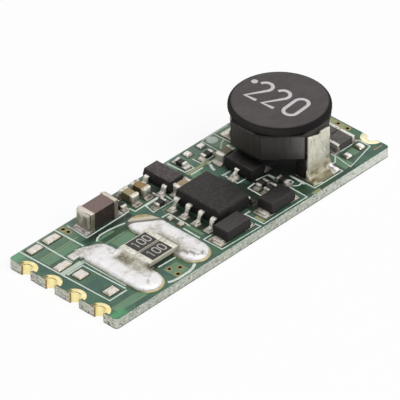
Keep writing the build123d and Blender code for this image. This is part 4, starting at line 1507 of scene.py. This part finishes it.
class MODULE_OT_stage(bpy.types.Operator):
    """Set the floor, the lamps, the world and the camera"""

    bl_idname = "driver_module.stage"
    bl_label = "Stage"

    def execute(self, context):
        settle()
        bpy.ops.mesh.primitive_plane_add(size=3, location=(0, 0, 0))
        floor = bpy.context.object
        floor.name = "floor"
        paper = Finish("floor_paper", colours().floor, 0.9)
        glow = paper.node("ShaderNodeEmission", {}, {"Color": (1, 1, 1, 1), "Strength": 1.0})
        own = Field(paper, paper.shader.outputs[0])
        share = paper.seen() * FLOOR_GLOW
        both = paper.node("ShaderNodeMixShader", {}, {0: share, 1: own, 2: glow})
        paper.link(both, "Material Output", "Surface")
        floor.data.materials.append(paper.material)
        for name, place, energy, size in LAMPS:
            settle()
            bpy.ops.object.light_add(type="AREA", location=place)
            lamp = bpy.context.object
            lamp.name = name
            lamp.data.energy = energy
            lamp.data.shape = "DISK"
            lamp.data.size = size
            lamp.rotation_euler = (-Vector(place)).to_track_quat("-Z", "Y").to_euler()
        world = bpy.data.worlds.new("studio")
        context.scene.world = world
        world.use_nodes = True
        sky = Nodes(world.node_tree)
        sky.tree.nodes["Background"].inputs["Color"].default_value = (1, 1, 1, 1)
        sky.link(sky.seen().most(WORLD_LIGHT), "Background", "Strength")
        set_camera(context)
        context.scene.view_settings.view_transform = "Standard"
        return {"FINISHED"}


def set_camera(context):
    """Camera on the board from its heading, tilt, lens, distance and the place it looks at."""
    turn, tilt = radians(VIEW_TURN), radians(VIEW_TILT)
    ahead = Vector((-sin(turn) * cos(tilt), cos(turn) * cos(tilt), -sin(tilt)))
    right = Vector((cos(turn), sin(turn), 0))
    up = right.cross(ahead)
    away = VIEW_FOCAL / VIEW_SCALE
    shift_x, shift_y = (value / VIEW_SCALE for value in VIEW_OFFSET)
    place = Vector((0, 0, TOP)) - right * shift_x + up * shift_y - ahead * away
    bpy.ops.object.camera_add(location=place * MM)
    camera = bpy.context.object
    camera.name = "photo_camera"
    camera.matrix_world = Matrix((right, up, -ahead)).transposed().to_4x4()
    camera.location = place * MM
    camera.data.sensor_width = VIEW_SENSOR
    camera.data.lens = VIEW_FOCAL / VIEW_PIXELS * VIEW_SENSOR
    context.scene.camera = camera


OPERATORS = [
    MODULE_OT_board,
    MODULE_OT_print,
    MODULE_OT_contacts,
    MODULE_OT_solder,
    MODULE_OT_chips,
    MODULE_OT_links,
    MODULE_OT_packages,
    MODULE_OT_inductor,
    MODULE_OT_stage,
]


class MODULE_PT_panel(bpy.types.Panel):
    bl_idname = "MODULE_PT_panel"
    bl_label = "Driver module"
    bl_space_type = "VIEW_3D"
    bl_region_type = "UI"
    bl_category = "Driver module"

    def draw(self, context):
        for operator in OPERATORS:
            self.layout.operator(operator.bl_idname)
        for group in (context.scene.module_sizes, context.scene.module_colours):
            for key in group.bl_rna.properties.keys():
                if key not in ("rna_type", "name"):
                    self.layout.prop(group, key)


CLASSES = [ModuleSizes, ModuleColours, *OPERATORS, MODULE_PT_panel]


def register():
    for made in CLASSES:
        bpy.utils.register_class(made)
    bpy.types.Scene.module_sizes = PointerProperty(type=ModuleSizes)
    bpy.types.Scene.module_colours = PointerProperty(type=ModuleColours)


def unregister():
    del bpy.types.Scene.module_colours
    del bpy.types.Scene.module_sizes
    for made in reversed(CLASSES):
        bpy.utils.unregister_class(made)


def main():
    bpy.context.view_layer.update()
    register()
    for operator in OPERATORS:
        group, name = operator.bl_idname.split(".")
        getattr(getattr(bpy.ops, group), name)()


if __name__ == "__main__":
    main()
